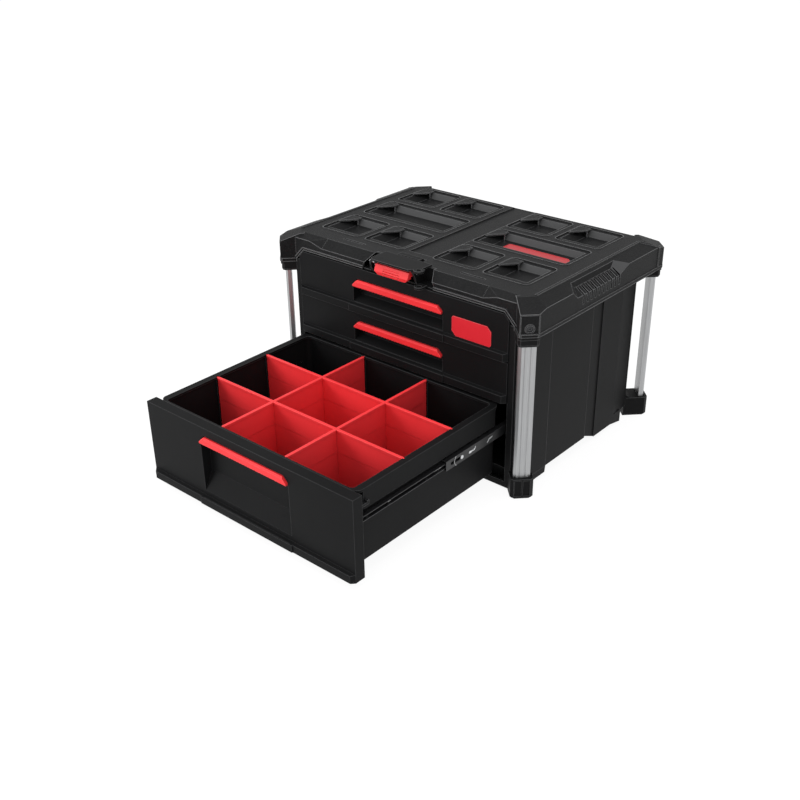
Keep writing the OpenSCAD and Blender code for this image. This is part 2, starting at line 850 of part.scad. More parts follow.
// cuts off the lid's crown: the corners' slants and the front band with its facets
module lid_slants() {
    all_corners() across([[crown_diag, top_z], [tower_diag, tower_top_z],
        [2 * tower_diag - crown_diag, 2 * tower_top_z - top_z],
        [2 * tower_diag - crown_diag, top_z + wall], [crown_diag, top_z + wall]], corner_reach);
    along_x([[-lid_front + front_slope, top_z], [-lid_front, band_z],
        [-lid_front - front_slope, band_z - (top_z - band_z)],
        [-lid_front - front_slope, top_z + wall], [-lid_front + front_slope, top_z + wall]],
        -facet_x, facet_x);
    both_sides() intersection() {
        block([facet_x - over, -half_d, band_z - wall],
            [facet_out_x, -lid_front + front_slope, top_z + wall]);
        translate([facet_x, -lid_front, band_z]) rotate([0, 0, facet_turn]) rotate([0, facet_tilt, 0])
            translate([-corner_reach, -corner_reach, 0])
                cube([2 * corner_reach, 2 * corner_reach, corner_reach]);
    }
}

module lid_hollow() {
    intersection() {
        along_y([[-face_x + lid_wall, lid_lip_z - over], [face_x - lid_wall, lid_lip_z - over],
            [face_x - lid_wall, side_top_z - lid_wall / 2], [ridge_x - lid_wall, top_z - deck_t],
            [-ridge_x + lid_wall, top_z - deck_t], [-face_x + lid_wall, side_top_z - lid_wall / 2]],
            -half_d, half_d);
        along_x([[-lid_front + lid_wall, lid_lip_z - over], [lid_back - lid_wall, lid_lip_z - over],
            [lid_back - lid_wall, side_top_z - lid_wall], [lid_back - rear_slope - lid_wall, top_z - deck_t],
            [-lid_front + front_slope + lid_wall, top_z - deck_t],
            [-lid_front + lid_wall, band_z - lid_wall]], -half_w, half_w);
        up_from([[-face_x, -cut_y + root_two * lid_wall], [-cut_x + root_two * lid_wall, -lid_front],
            [cut_x - root_two * lid_wall, -lid_front], [face_x, -cut_y + root_two * lid_wall],
            [face_x, cut_y - root_two * lid_wall], [cut_back_x - root_two * lid_wall, lid_back],
            [-cut_back_x + root_two * lid_wall, lid_back], [-face_x, cut_y - root_two * lid_wall]],
            lid_lip_z - over, top_z);
    }
    all_corners() difference() {
        across([[tower_root, lid_lip_z - over], [tower_diag - lid_wall, lid_lip_z - over],
            [tower_diag - lid_wall, tower_top_z - lid_wall], [crown_diag, top_z - deck_t],
            [tower_root, top_z - deck_t]], block_half - lid_wall);
        translate([spigot_d + spigot_half + fit, 0, lid_screw_z]) rotate([0, 90, 0])
            cylinder(r = boss_r, h = spigot_half, $fn = 40);
    }
}

// the socket wells: each takes a foot of the box that is stacked on top
module socket_shell(x0, w, rear, d) {
    block([x0 - ramp_l, rear - d - well_wall, well_z - well_wall], [x0 + w + well_wall, rear + well_wall,
        top_z - deck_t + over]);
}

module socket_cut(x0, w, rear, d) {
    round_plate(x0 - border_left, rear - d - border_front, x0 + w + border_right, rear + border_rear,
        border_r, top_z - border_h, top_z + over);
    along_x([[rear - d, well_z], [rear - well_slope, well_z], [rear, top_z + over], [rear - d, top_z + over]],
        x0, x0 + w);
    along_y([[x0 - ramp_l, top_z - border_h - over / 2], [x0, well_z], [x0 + over, well_z],
        [x0 + over, top_z + over], [x0 - ramp_l, top_z + over]], rear - d, rear - well_slope);
}

// a bead round the socket, and the hooded flap above its ramp
module socket_hood(x0, w, rear, d) {
    difference() {
        round_plate(x0 - border_left - bead_t, rear - d - border_front - bead_t,
            x0 + w + border_right + bead_t,
            rear + border_rear + bead_t, border_r + bead_t, top_z - over, top_z + bead_up);
        round_plate(x0 - border_left, rear - d - border_front, x0 + w + border_right, rear + border_rear,
            border_r, top_z - 2 * over, top_z + over);
    }
    difference() {
        union() {
            up_from([[x0 - ramp_l, rear - hood_d], [x0 + hood_in, rear - hood_nose], [x0 + hood_in, rear],
                [x0 - ramp_l - hood_back, rear], [x0 - ramp_l - hood_back, rear - hood_d]],
                hood_low_z, hood_top_z - over);
            up_from([[x0 - ramp_l + over, rear - hood_d + 2 * over],
                [x0 + hood_in - over, rear - hood_nose + over], [x0 + hood_in - over, rear - over],
                [x0 - ramp_l - hood_back + over, rear - over],
                [x0 - ramp_l - hood_back + over, rear - hood_d + 2 * over]], hood_low_z, hood_top_z);
            block([x0 - ramp_l - hood_back, rear - hood_d, top_z - deck_t],
                [x0 - ramp_l, rear, hood_low_z + over]);
        }
        translate([x0 + hood_pin_r + fit, rear - well_slope - hood_pin_r - fit, hood_low_z - over])
            cylinder(r = hood_pin_r + turn_gap, h = hood_pin_up + over, $fn = 24);
    }
}

module socket_pin(x0, rear) {
    translate([x0 + hood_pin_r + fit, rear - well_slope - hood_pin_r - fit, well_z + fit])
        cylinder(r = hood_pin_r, h = hood_low_z + hood_pin_up - well_z - 2 * fit, $fn = 24);
}

module each_socket(mode) {
    for (row = [0 : 2], col = [0 : 3]) if (row != 1 || col % 2 == 0) {
        x0 = socket_x_share[col] * half_w;
        rear = row_rear_share[row] * half_d;
        w = row == 1 ? wide_w : socket_w;
        d = row == 1 ? wide_d : socket_d;
        if (mode == "shell") socket_shell(x0, w, rear, d);
        if (mode == "cut") socket_cut(x0, w, rear, d);
        if (mode == "hood") socket_hood(x0, w, rear, d);
        if (mode == "pin") socket_pin(x0, rear);
    }
}

module socket_pins() color(zinc) placed() each_socket("pin");

// cuts away all that lies on one side of the plane through three points
module beyond(p, q, r) {
    n = unit(cross(q - p, r - p));
    translate(p) rotate([0, acos(n[2]), atan2(n[1], n[0])]) translate([-corner_reach, -corner_reach, 0])
        cube([2 * corner_reach, 2 * corner_reach, corner_reach]);
}

// the hand hold's pocket in the side's slope; its ends are slanted facets
module hold_pocket() {
    reach_y = hold_turn + over;
    difference() {
        along_y([[hold_top_x, hold_edge_z], [hold_floor_x, hold_floor_z], [face_x, hold_sill_z],
            [half_w + over, hold_sill_z], [half_w + over, top_z], [hold_top_x, top_z]],
            hold_front_y - reach_y, hold_rear_y + reach_y);
        beyond([hold_top_x, hold_front_y, hold_edge_z],
            [hold_floor_x, hold_front_y + hold_front_run, hold_floor_z],
            [face_x, hold_front_y - hold_turn, side_top_z]);
        beyond([hold_top_x, hold_rear_y, hold_edge_z], [face_x, hold_rear_y + hold_turn, side_top_z],
            [hold_floor_x, hold_rear_y - hold_rear_run, hold_floor_z]);
    }
}

// a groove between two ribs: curved across the pocket's floor, then down the side below the sill
module hold_groove(y) {
    along_y([[hold_floor_x + over, hold_floor_z - over],
        [hold_floor_x + hold_groove_d, hold_floor_z - 2 * hold_groove_d],
        [face_x - 2 * hold_groove_d, hold_sill_z - hold_groove_d],
        [face_x - over, hold_sill_z - 2 * hold_groove_d],
        [face_x - over, hold_low_z], [half_w + over, hold_low_z], [half_w + over, hold_sill_z + over],
        [face_x, hold_sill_z + over], [hold_floor_x + over, hold_floor_z + over]],
        y - hold_groove_w / 2, y + hold_groove_w / 2);
}

module top_lid() color(lid_colour) placed() {
    lid_body();
    each_socket("hood");
}

module lid_body() difference() {
    union() {
        difference() {
            lid_form();
            lid_hollow();
        }
        intersection() {
            lid_form();
            union() {
                each_socket("shell");
                both_sides() {
                    along_y([[hold_top_x - lid_wall, top_z], [hold_top_x - lid_wall, hold_floor_z - lid_wall],
                        [hold_floor_x, hold_floor_z - 2 * lid_wall], [face_x, hold_sill_z - 2 * lid_wall],
                        [face_x, top_z]], hold_front_y - hold_turn - lid_wall,
                        hold_rear_y + hold_turn + lid_wall);
                    block([body_x - wall, -seat_l, seat_z], [body_x, turn_y, top_z - 2 * wall]);
                }
                block([-back_flange_x, body_back - wall, seat_z], [back_flange_x, body_back, side_top_z]);
                block([-latch_half - lid_wall, pocket_y - lid_wall, arch_z + over],
                    [latch_half + lid_wall, pocket_y + lid_wall, top_z]);
            }
        }
        all_corners() translate([tower_diag - over, 0, lid_screw_z]) rotate([0, 90, 0])
            cylinder(r = boss_r, h = 2 * over, $fn = 40);
    }
    lid_slants();
    each_socket("cut");
    along_y(arch_points(0), -half_d, -lid_front + lid_wall + over);
    // groove down the middle, slots, and the latch's pocket
    block([-groove_half, groove_front_share * half_d, top_z - groove_h],
        [groove_half, groove_rear_share * half_d, top_z + over]);
    both_sides() block([slot_x, -slot_y - slot_w / 2, top_z - slot_h], [slot_x + slot_l, -slot_y + slot_w / 2,
        top_z + over]);
    along_y(latch_outline(0), -half_d, pocket_y);
    block([-tongue_half - tongue_gap, pocket_y - over, lid_lip_z], [tongue_half + tongue_gap,
        -tongue_rear + tongue_play, top_z + over]);
    all_corners() {
        translate([spigot_d, 0, lid_screw_z]) rotate([0, 90, 0])
            cylinder(r = screw_r + fit, h = tower_diag, $fn = 32);
        translate([tower_diag - lid_screw_in - screw_head_h, 0, lid_screw_z]) rotate([0, 90, 0])
            cylinder(r = pocket_r, h = spigot_half, $fn = 40);
    }
    all_corners() difference() {
        block([tower_diag - face_panel_d, face_panel_rim - block_half, lid_lip_z + collar_h + collar_step],
            [tower_diag + over, block_half - face_panel_rim, tower_top_z - face_panel_rim]);
        translate([tower_root, 0, lid_screw_z]) rotate([0, 90, 0])
            cylinder(r = ring_r, h = tower_diag - tower_root - face_panel_d / 4, $fn = 48);
    }
    both_sides() {
        hold_pocket();
        for (k = [0 : hold_groove_n - 1])
            hold_groove((hold_front_share + (k + 1) * hold_groove_share) * half_d);
    }
}

module badge(w, h, t, c) {
    linear_extrude(t) polygon([[c, 0], [w - c / 3, 0], [w, c / 3], [w, h - c], [w - c, h], [c / 3, h],
        [0, h - c / 3], [0, c]]);
}

module lid_badge() color(red) placed() translate([socket_x_share[2] * half_w + badge_margin,
    row_rear_share[1] * half_d - wide_d + badge_front_gap, well_z]) badge(badge_w, badge_h, badge_t, badge_c);

module front_badge() color(red) placed() translate([badge_front_x, face_y, badge_front_z]) rotate([90, 0, 0])
    badge(badge_front_w, badge_front_h, badge_t, badge_c);

// a drawer's pieces are drawn closed and stand where the drawer is
module at_drawer(i) {
    translate([0, -drawer_out[i], 0]) children();
}

module drawer_front(i) {
    z0 = low_z[i];
    z1 = high_z[i];
    gt = grip_top_z[i];
    end_x = grip_half + recess_gap;
    ramp_z = z0 + ledge_h + ramp_share * (gt - grip_h - z0 - ledge_h);
    color(drawer_colour) placed() at_drawer(i) difference() {
        union() {
            difference() {
                along_y(front_outline(i, 0), face_y, back_y);
                along_y(front_outline(i, shell_t), face_y + shell_t, back_y + over);
            }
            block([-end_x - shell_t, face_y, z0], [end_x + shell_t, back_y, gt + recess_gap + shell_t]);
            intersection() {
                along_x([[face_y + over, z0], [face_y - ledge_out, z0], [face_y - ledge_out, z0 + ledge_h],
                    [face_y, z0 + ledge_h + ledge_slope], [face_y + over, z0 + ledge_h + ledge_slope]],
                    -front_half, front_half);
                up_from([[-front_half, face_y + over], [-front_half, face_y],
                    [-front_half + ledge_end, face_y - ledge_out],
                    [front_half - ledge_end, face_y - ledge_out],
                    [front_half, face_y], [front_half, face_y + over]], z0, z1);
            }
            along_x([[face_y, z0], [face_y - ledge_out - ledge_step, z0],
                [face_y - ledge_out - ledge_step, z0 + ledge_h], [face_y, z0 + ledge_h + ledge_slope]],
                -end_x - ledge_end, end_x + ledge_end);
            both_sides() {
                block([rod_rib_x - shell_t, face_y, rod_z[i] - 2 * rod_boss_r],
                    [rod_rib_x, back_y, rod_z[i] + 2 * rod_boss_r]);
                for (z = front_screw_z(i)) rod_y(rod_boss_r, front_screw_x, face_y + over, back_y, z, 32);
            }
        }
        // the handle recess, with the grip's opening above it
        intersection() {
            along_x([[face_y - 2 * ledge_out, gt + recess_gap], [back_y - recess_back_t, gt + recess_gap],
                [back_y - recess_back_t, ramp_z], [face_y - ledge_out, z0 + ledge_h],
                [face_y - 2 * ledge_out, z0 + ledge_h]], -end_x, end_x);
            along_y([[-end_x, z0], [end_x, z0], [end_x, gt - grip_end + recess_gap],
                [end_x - grip_end, gt + recess_gap], [-end_x + grip_end, gt + recess_gap],
                [-end_x, gt - grip_end + recess_gap]], face_y - 3 * ledge_out, back_y);
        }
        rod_x(rod_r + turn_gap, -rod_end_x, rod_end_x, rod_y, rod_z[i], 48);
        both_sides() for (z = front_screw_z(i)) rod_y(slide_screw_r + turn_gap, front_screw_x,
            back_y - slide_screw_l, back_y + over, z, 32);
    }
}

function front_screw_z(i) = [low_z[i] + tub_lift[i] + front_screw_in, rod_z[i] - front_screw_drop];

// the front's outline, drawn inwards by a thickness; only the top drawer's has chamfered corners
function front_outline(i, t) = let(x = front_half - t, z0 = low_z[i] + t, z1 = high_z[i] - t,
    c = top_chamfer - (2 - root_two) * t)
    i == 2 ? [[-x, z0], [x, z0], [x, z1 - c], [x - c, z1], [-x + c, z1], [-x, z1 - c]]
        : [[-x, z0], [x, z0], [x, z1], [-x, z1]];

module tub(i) {
    z0 = low_z[i] + tub_lift[i];
    z1 = rim_z[i];
    y1 = back_y + tub_d;
    in_x = tub_half - tub_wall;
    band_z = slide_z[i] + outer_v + band_gap;
    color(drawer_colour) placed() at_drawer(i) difference() {
        union() {
            difference() {
                round_plate(-tub_half, back_y, tub_half, y1, tub_r, z0, z1);
                round_plate(-in_x, back_y + shell_t, in_x, y1 - tub_wall, tub_r - tub_wall,
                    z0 + tub_floor_t, z1 - rim_t);
            }
            round_plate(-rim_x, back_y, rim_x, y1, tub_r, z1 - rim_t, z1);
            both_sides() block([rim_x - skirt_gap, back_y + tub_r, band_z],
                [rim_x, y1 - tub_r, z1 - rim_t + over]);
            if (i == 0) {
                for (s = [-1, 1], k = [-1, 1]) {
                    x = s * long_x_share * tub_half + k * (divider_t + guide_t + 2 * guide_gap) / 2;
                    for (y = [back_y + shell_t - over, y1 - tub_wall - guide_t])
                        block([x - guide_t / 2, y, z0], [x + guide_t / 2, y + guide_t + over, z1 - rim_t]);
                    for (share = cross_y_share) {
                        y = cross_y(share) + k * (divider_t + guide_t + 2 * guide_gap) / 2;
                        block([s > 0 ? in_x - guide_t : -in_x - over, y - guide_t / 2, z0],
                            [s > 0 ? in_x + over : -in_x + guide_t, y + guide_t / 2, z1 - rim_t]);
                    }
                }
            }
        }
        round_plate(-rim_x + rim_w, back_y + shell_t, rim_x - rim_w, y1 - tub_wall - guide_t,
            tub_r - tub_wall,
            z1 - rim_t - over, z1 + over);
        if (i == 0) {
            for (share = cross_y_share) block([-in_x, cross_y(share) - divider_bead_t / 2, z1 - rim_t - over],
                [in_x, cross_y(share) + divider_bead_t / 2, z1 + over]);
            both_sides() block([long_x_share * tub_half - divider_bead_t / 2, 0, z1 - rim_t - over],
                [long_x_share * tub_half + divider_bead_t / 2, y1 - tub_wall, z1 + over]);
        }
        both_sides() {
            for (y = slide_screw_y)
                rod_x(slide_screw_r + turn_gap, in_x - over, tub_half + over, y, slide_z[i], 32);
            for (z = front_screw_z(i)) rod_y(slide_screw_r + turn_gap, front_screw_x, back_y - over,
                back_y + shell_t + over, z, 32);
            for (share = window_share) block([in_x - over, back_y + share * tub_d - window_w / 2,
                slide_z[i] - inner_v + fit], [tub_half + over, back_y + share * tub_d + window_w / 2,
                slide_z[i] + inner_v - fit]);
        }
    }
}

function cross_y(share) = back_y + shell_t + share * (tub_d - shell_t - tub_wall);

module grip(i) {
    gt = grip_top_z[i];
    low = gt - grip_h;
    front = face_y - grip_proud;
    color(red) placed() at_drawer(i) difference() {
        union() {
            intersection() {
                along_x([[front + grip_bevel, gt], [front, gt - grip_bevel], [front, low + notch],
                    [front + notch / 2, low], [front + grip_t / 2, low], [front + grip_t, gt - grip_h / 2],
                    [front + grip_t, gt - notch / 2], [front + grip_t - notch / 2, gt]],
                    -grip_half, grip_half);
                along_y([[-grip_half, low], [grip_half, low], [grip_half, gt - grip_end],
                    [grip_half - grip_end, gt], [-grip_half + grip_end, gt], [-grip_half, gt - grip_end]],
                    front - over, back_y);
            }
            for (k = [0 : knuckle_n - 1]) {
                x = (2 * k / (knuckle_n - 1) - 1) * knuckle_x;
                rod_x(grip_knuckle_r, x - knuckle_w / 2, x + knuckle_w / 2, rod_y, rod_z[i], 48);
                block([x - knuckle_w / 2, front + grip_t - over, rod_z[i] - rod_r], [x + knuckle_w / 2,
                    rod_y, rod_z[i] + rod_r]);
            }
        }
        for (k = [0 : notch_n - 1]) rod_y(notch, (k - (notch_n - 1) / 2) * notch_pitch, front - over,
            front + grip_t / 2, low, 12);
        rod_x(rod_r, -grip_half, grip_half, rod_y, rod_z[i], 48);
    }
}

module grip_rod(i) color(steel) placed() at_drawer(i)
    rod_x(rod_r, -rod_end_x, rod_end_x, rod_y, rod_z[i], 48);

module lock_hooks(i) color(case_colour) placed() at_drawer(i) both_sides() {
    z = rod_z[i];
    difference() {
        union() {
            rod_x(rod_boss_r, hook_x0, hook_x0 + hook_t, rod_y, z, 48);
            block([hook_x0, rod_y, z - hook_h], [hook_x0 + hook_t, rod_y + hook_l, z]);
            block([hook_x0, rod_y + hook_l - nose_l, z - hook_h],
                [hook_x0 + hook_t, rod_y + hook_l, z + nose_h]);
        }
        rod_x(rod_r, hook_x0 - over, hook_x0 + hook_t + over, rod_y, z, 48);
    }
}

// a torsion spring: one unbroken wire with a straight leg at each end, round an axis along X
coil_count = coil_turns * coil_steps;
function coil_path() = concat([[0, coil_r, -coil_leg], [0, coil_r, -coil_leg / 2]],
    [for (k = [0 : coil_count]) [coil_pitch * k / coil_steps, coil_r * cos(360 * k / coil_steps),
        coil_r * sin(360 * k / coil_steps)]],
    [[coil_pitch * coil_turns, coil_r, coil_leg / 2], [coil_pitch * coil_turns, coil_r, coil_leg]]);
function unit(v) = v / norm(v);
function ring(path, k) = let(n = len(path), a = path[max(0, k - 1)], b = path[min(n - 1, k + 1)],
    dir = unit(b - a), side = unit(cross(dir, [1, 0, 0])), rise = cross(side, dir))
    [for (s = [0 : coil_sides - 1]) path[k] + wire_r * (cos(360 * s / coil_sides) * side
        + sin(360 * s / coil_sides) * rise)];
coil_gap = min([for (k = [coil_steps : coil_count])
    norm(coil_path()[k + 2] - coil_path()[k + 2 - coil_steps])]) - 2 * wire_r;
echo(least_gap_between_turns = coil_gap);

module coil(x, y, z) {
    path = coil_path();
    n = len(path);
    sides = coil_sides;
    translate([x, y, z]) polyhedron(
        points = [for (k = [0 : n - 1]) each ring(path, k)],
        faces = concat(
            [for (k = [0 : n - 2], s = [0 : sides - 1], half = [0, 1]) let(a = k * sides + s,
                b = k * sides + (s + 1) % sides, c = a + sides, d = b + sides)
                half == 0 ? [a, c, b] : [b, c, d]],
            [for (s = [1 : sides - 2]) [0, s, s + 1]],
            [for (s = [1 : sides - 2]) [(n - 1) * sides, (n - 1) * sides + s + 1, (n - 1) * sides + s]]));
}

module grip_spring(i) color(zinc) placed() at_drawer(i) coil(spring_x, rod_y, rod_z[i]);

// slides: profiles across, u from the tub outwards and v up from the middle of the slide
function outer_points() = [[slide_t, -outer_v], [slide_t, outer_v], [outer_u0, outer_v],
    [outer_u0, outer_v - strip_t - lip_l], [outer_u0 + strip_t, outer_v - strip_t - lip_l],
    [outer_u0 + strip_t, outer_v - strip_t], [slide_t - web_t, outer_v - strip_t],
    [slide_t - web_t, -outer_v + strip_t], [outer_u0 + strip_t, -outer_v + strip_t],
    [outer_u0 + strip_t, -outer_v + strip_t + lip_l], [outer_u0, -outer_v + strip_t + lip_l],
    [outer_u0, -outer_v]];
function middle_points() = [[mid_u1, -mid_v], [mid_u1, mid_v], [mid_u0, mid_v],
    [mid_u0, mid_v - strip_t - lip_l],
    [mid_u0 + strip_t, mid_v - strip_t - lip_l], [mid_u0 + strip_t, mid_v - strip_t],
    [mid_u1 - strip_t, mid_v - strip_t], [mid_u1 - strip_t, -mid_v + strip_t],
    [mid_u0 + strip_t, -mid_v + strip_t], [mid_u0 + strip_t, -mid_v + strip_t + lip_l],
    [mid_u0, -mid_v + strip_t + lip_l], [mid_u0, -mid_v]];
function inner_points() = [[0, -inner_v], [0, inner_v], [inner_u1, inner_v], [inner_u1, inner_v - strip_t],
    [web_t, inner_v - strip_t], [web_t, -inner_v + strip_t], [inner_u1, -inner_v + strip_t],
    [inner_u1, -inner_v]];

module rail(points, i, y0, y1, moved) both_sides()
    translate([tub_half, -moved * drawer_out[i], slide_z[i]]) along_y(points, y0, y1);

module slide_outer(i) color(black_steel) placed() difference() {
    rail(outer_points(), i, slide_front_y, slide_front_y + slide_l, 0);
    both_sides() for (y = rib_y) rod_x(slide_screw_r + turn_gap, tub_half, rib_x + over, y, slide_z[i], 32);
}

module slide_middle(i) color(black_steel) placed() difference() {
    rail(middle_points(), i, mid_y0, mid_y1, half_share);
    both_sides() translate([tub_half + mid_u1 - 2 * strip_t, -half_share * drawer_out[i], slide_z[i]]) {
        for (k = [0 : 1]) rod_x(slot_r, 0, 3 * strip_t, mid_y0 + slot_end + k * slot_step, 0, 32);
        block([0, mid_y0 + slot_end, -slot_r], [3 * strip_t, mid_y0 + slot_end + slot_step, slot_r]);
    }
}

module slide_inner(i) color(black_steel) placed() difference() {
    rail(inner_points(), i, inner_y0, inner_y0 + slide_l, 1);
    at_drawer(i) both_sides() for (y = slide_screw_y) rod_x(slide_screw_r + turn_gap, tub_half - over,
        tub_half + 2 * web_t, y, slide_z[i], 32);
}

// a cage: a strip above and one below, each with a row of balls that roll in its holes
module cage(i, y0, share, v, u) color(zinc) placed() both_sides()
    translate([tub_half + u, y0 - share * drawer_out[i], slide_z[i]]) for (s = [-1, 1]) {
        step = cage_l / ball_n;
        difference() {
            block([-cage_w / 2, 0, s * v - cage_t / 2], [cage_w / 2, cage_l, s * v + cage_t / 2]);
            for (k = [0 : ball_n - 1]) translate([0, (k + half_share) * step, s * v - cage_t])
                cylinder(r = ball_r + ball_fit, h = 2 * cage_t, $fn = 24);
        }
        for (k = [0 : ball_n - 1])
            translate([0, (k + half_share) * step, s * v]) sphere(r = ball_r, $fn = 20);
    }

module cage_outer(i) cage(i, cage_outer_y, quarter_share, outer_v - strip_t - ball_gap / 2, cage_u);
module cage_inner(i) cage(i, cage_inner_y, 3 * quarter_share, mid_v - strip_t - ball_gap / 2,
    cage_u - strip_t);

module slide_screws() color(zinc) placed() both_sides() for (i = [0 : 2], y = rib_y)
    translate([rib_x - web_t, y, slide_z[i]]) rotate([0, -90, 0])
        screw(slide_head_r, slide_head_h, slide_screw_r, web_t + slide_screw_l - fit);

module drawer_screws(i) color(zinc) placed() at_drawer(i) both_sides() {
    for (y = slide_screw_y) translate([tub_half + web_t, y, slide_z[i]]) rotate([0, 90, 0])
        screw(slide_head_r, slide_head_h, slide_screw_r, web_t + tub_wall - fit);
    for (z = front_screw_z(i)) translate([front_screw_x, back_y + shell_t, z]) rotate([-90, 0, 0])
        screw(slide_head_r, slide_head_h, slide_screw_r, shell_t + slide_screw_l - fit);
}

// latch
function latch_outline(m) = [[-latch_half + m, lid_lip_z], [-latch_half + m, latch_low_z],
    [-latch_top_half + m, top_z + 2 * over - m], [latch_top_half - m, top_z + 2 * over - m],
    [latch_half - m, latch_low_z], [latch_half - m, lid_lip_z]];

module latch_housing() color(case_colour) placed() difference() {
    union() {
        intersection() {
            along_y(latch_outline(fit), -half_d, pocket_y - fit);
            union() {
                block([-latch_half, pocket_y - fit - plate_t, latch_bed_z],
                    [latch_half, pocket_y - fit, top_z]);
                block([-latch_half, latch_bed_y, latch_bed_z], [latch_half, pocket_y - fit, latch_floor_z]);
            }
        }
        // the hood and the block behind it
        up_from([[-hood_half, pocket_y - fit], [-hood_half, -hood_front + hood_chamfer],
            [-hood_half + hood_chamfer, -hood_front], [hood_half - hood_chamfer, -hood_front],
            [hood_half, -hood_front + hood_chamfer], [hood_half, pocket_y - fit]],
            hood_z, hood_z + hood_plate_t);
        block([-hood_half, pocket_y - fit - plate_t, top_z - plate_t],
            [hood_half, pocket_y - fit, hood_z + over]);
        both_sides() along_x([[pocket_y - fit, latch_bed_z], [latch_bed_y, latch_bed_z],
            [latch_bed_y - cheek_run, latch_z - knuckle_r], [-hood_front + hood_chamfer, hood_z + over],
            [pocket_y - fit, hood_z + over]], cheek_x, cheek_x + plate_t);
        // the pin's outer bracket on the left
        along_x([[pocket_y - fit, latch_bed_z], [latch_y, latch_bed_z],
            [latch_y - knuckle_r, latch_z - knuckle_r],
            [latch_y - knuckle_r, latch_z], [latch_y, latch_z + knuckle_r], [pocket_y - fit, latch_z]],
            -bracket_x - plate_t, -bracket_x);
        // the eye on the hood and the lug under it
        translate([eye_x, eye_y, hood_z]) cylinder(r = eye_r, h = hood_plate_t, $fn = 48);
        block([hood_half - over, eye_y - eye_r / 2, hood_z], [eye_x, pocket_y - fit, hood_z + hood_plate_t]);
        translate([eye_x, eye_y, latch_bed_z]) cylinder(r = lug_r, h = lug_h, $fn = 48);
        block([eye_x - lug_r, eye_y, latch_bed_z], [eye_x + lug_r, latch_bed_y + over, latch_bed_z + lug_h]);
    }
    translate([eye_x, eye_y, latch_bed_z - over])
        cylinder(r = eye_hole_r, h = hood_z + hood_plate_t - latch_bed_z + 2 * over, $fn = 40);
    block([-arm_half - tongue_gap, pocket_y - over - plate_t, latch_floor_z + tongue_gap],
        [arm_half + tongue_gap, pocket_y + over, hood_z - fit]);
    rod_x(latch_pin_r + turn_gap / 4, -latch_pin_left, latch_pin_right, latch_y, latch_z, 48);
}

module latch_pin() color(steel) placed()
    rod_x(latch_pin_r, -latch_pin_left + fit, latch_pin_right - fit, latch_y, latch_z, 48);

module latch_paddle() color(red) placed() difference() {
    union() {
        intersection() {
            along_x([[-paddle_y, paddle_top_z], [-paddle_y - paddle_lean, paddle_low_z + paddle_t],
                [-paddle_y - paddle_lean + paddle_t / 4, paddle_low_z],
                [-paddle_y + paddle_t / 2, paddle_low_z],
                [-paddle_y + paddle_t, latch_z - knuckle_r + over], [latch_y, latch_z - knuckle_r],
                [latch_y, latch_z + knuckle_r], [-paddle_y + paddle_t, paddle_top_z + over / 2]],
                -paddle_half, paddle_half);
            along_y([[-paddle_half + paddle_t, paddle_low_z], [paddle_half - paddle_t, paddle_low_z],
                [paddle_half, paddle_low_z + paddle_t], [paddle_half, hood_z], [-paddle_half, hood_z],
                [-paddle_half, paddle_low_z + paddle_t]], -half_d - paddle_t, pocket_y);
        }
        rod_x(knuckle_r, -paddle_half, paddle_half, latch_y, latch_z, 48);
    }
    rod_x(latch_pin_r + turn_gap, -paddle_half - over, paddle_half + over, latch_y, latch_z, 48);
    block([-arm_half - fit, latch_y - knuckle_r - fit, latch_z - 2 * knuckle_r],
        [arm_half + fit, pocket_y, latch_z + 2 * knuckle_r]);
    for (k = [-1 : 1]) block([-rib_cut_l, -paddle_y - 2 * paddle_t,
        paddle_mid_z + k * rib_cut_pitch - rib_cut_w / 2],
            [rib_cut_l, -paddle_y - paddle_lean / 2 + rib_cut_d,
        paddle_mid_z + k * rib_cut_pitch + rib_cut_w / 2]);
}

module latch_tongue() color(case_colour) placed() difference() {
    union() {
        rod_x(knuckle_r, -arm_half, arm_half, latch_y, latch_z, 48);
        block([-arm_half, latch_y, latch_z - knuckle_r],
            [arm_half, -tongue_rear, latch_z - knuckle_r + arm_t]);
        along_x([[-tongue_front, latch_z - knuckle_r], [-tongue_rear, latch_z - knuckle_r],
            [-tongue_rear, latch_z], [-tongue_rear - tongue_flat, tongue_top_z],
            [-tongue_front + tongue_flat, tongue_top_z], [-tongue_front, latch_z]],
            -tongue_half, tongue_half);
    }
    rod_x(latch_pin_r + turn_gap, -arm_half - over, arm_half + over, latch_y, latch_z, 48);
    for (s = [-1, 1]) block([s * tongue_half / 2 - tongue_hole, -tongue_front - over, latch_z],
        [s * tongue_half / 2 + tongue_hole, -tongue_front + tongue_flat, tongue_top_z + over]);
}

module latch_spring() color(zinc) placed() coil(-bracket_x + over, latch_y, latch_z);

// dividers of the bottom drawer: long ones slotted from above, cross ones from below
divider_z0 = bottom_z + tub_lift[0] + tub_floor_t + fit;
divider_z1 = bottom_rim_z - divider_drop;
divider_mid = (divider_z0 + divider_z1) / 2;

// the part of a long divider's notch that one width of the cross divider takes
module divider_notch(x, y, half, z) {
    block([x - divider_bead_t, y - half - divider_lap, z],
        [x + divider_bead_t, y + half + divider_lap, divider_z1 + over]);
}

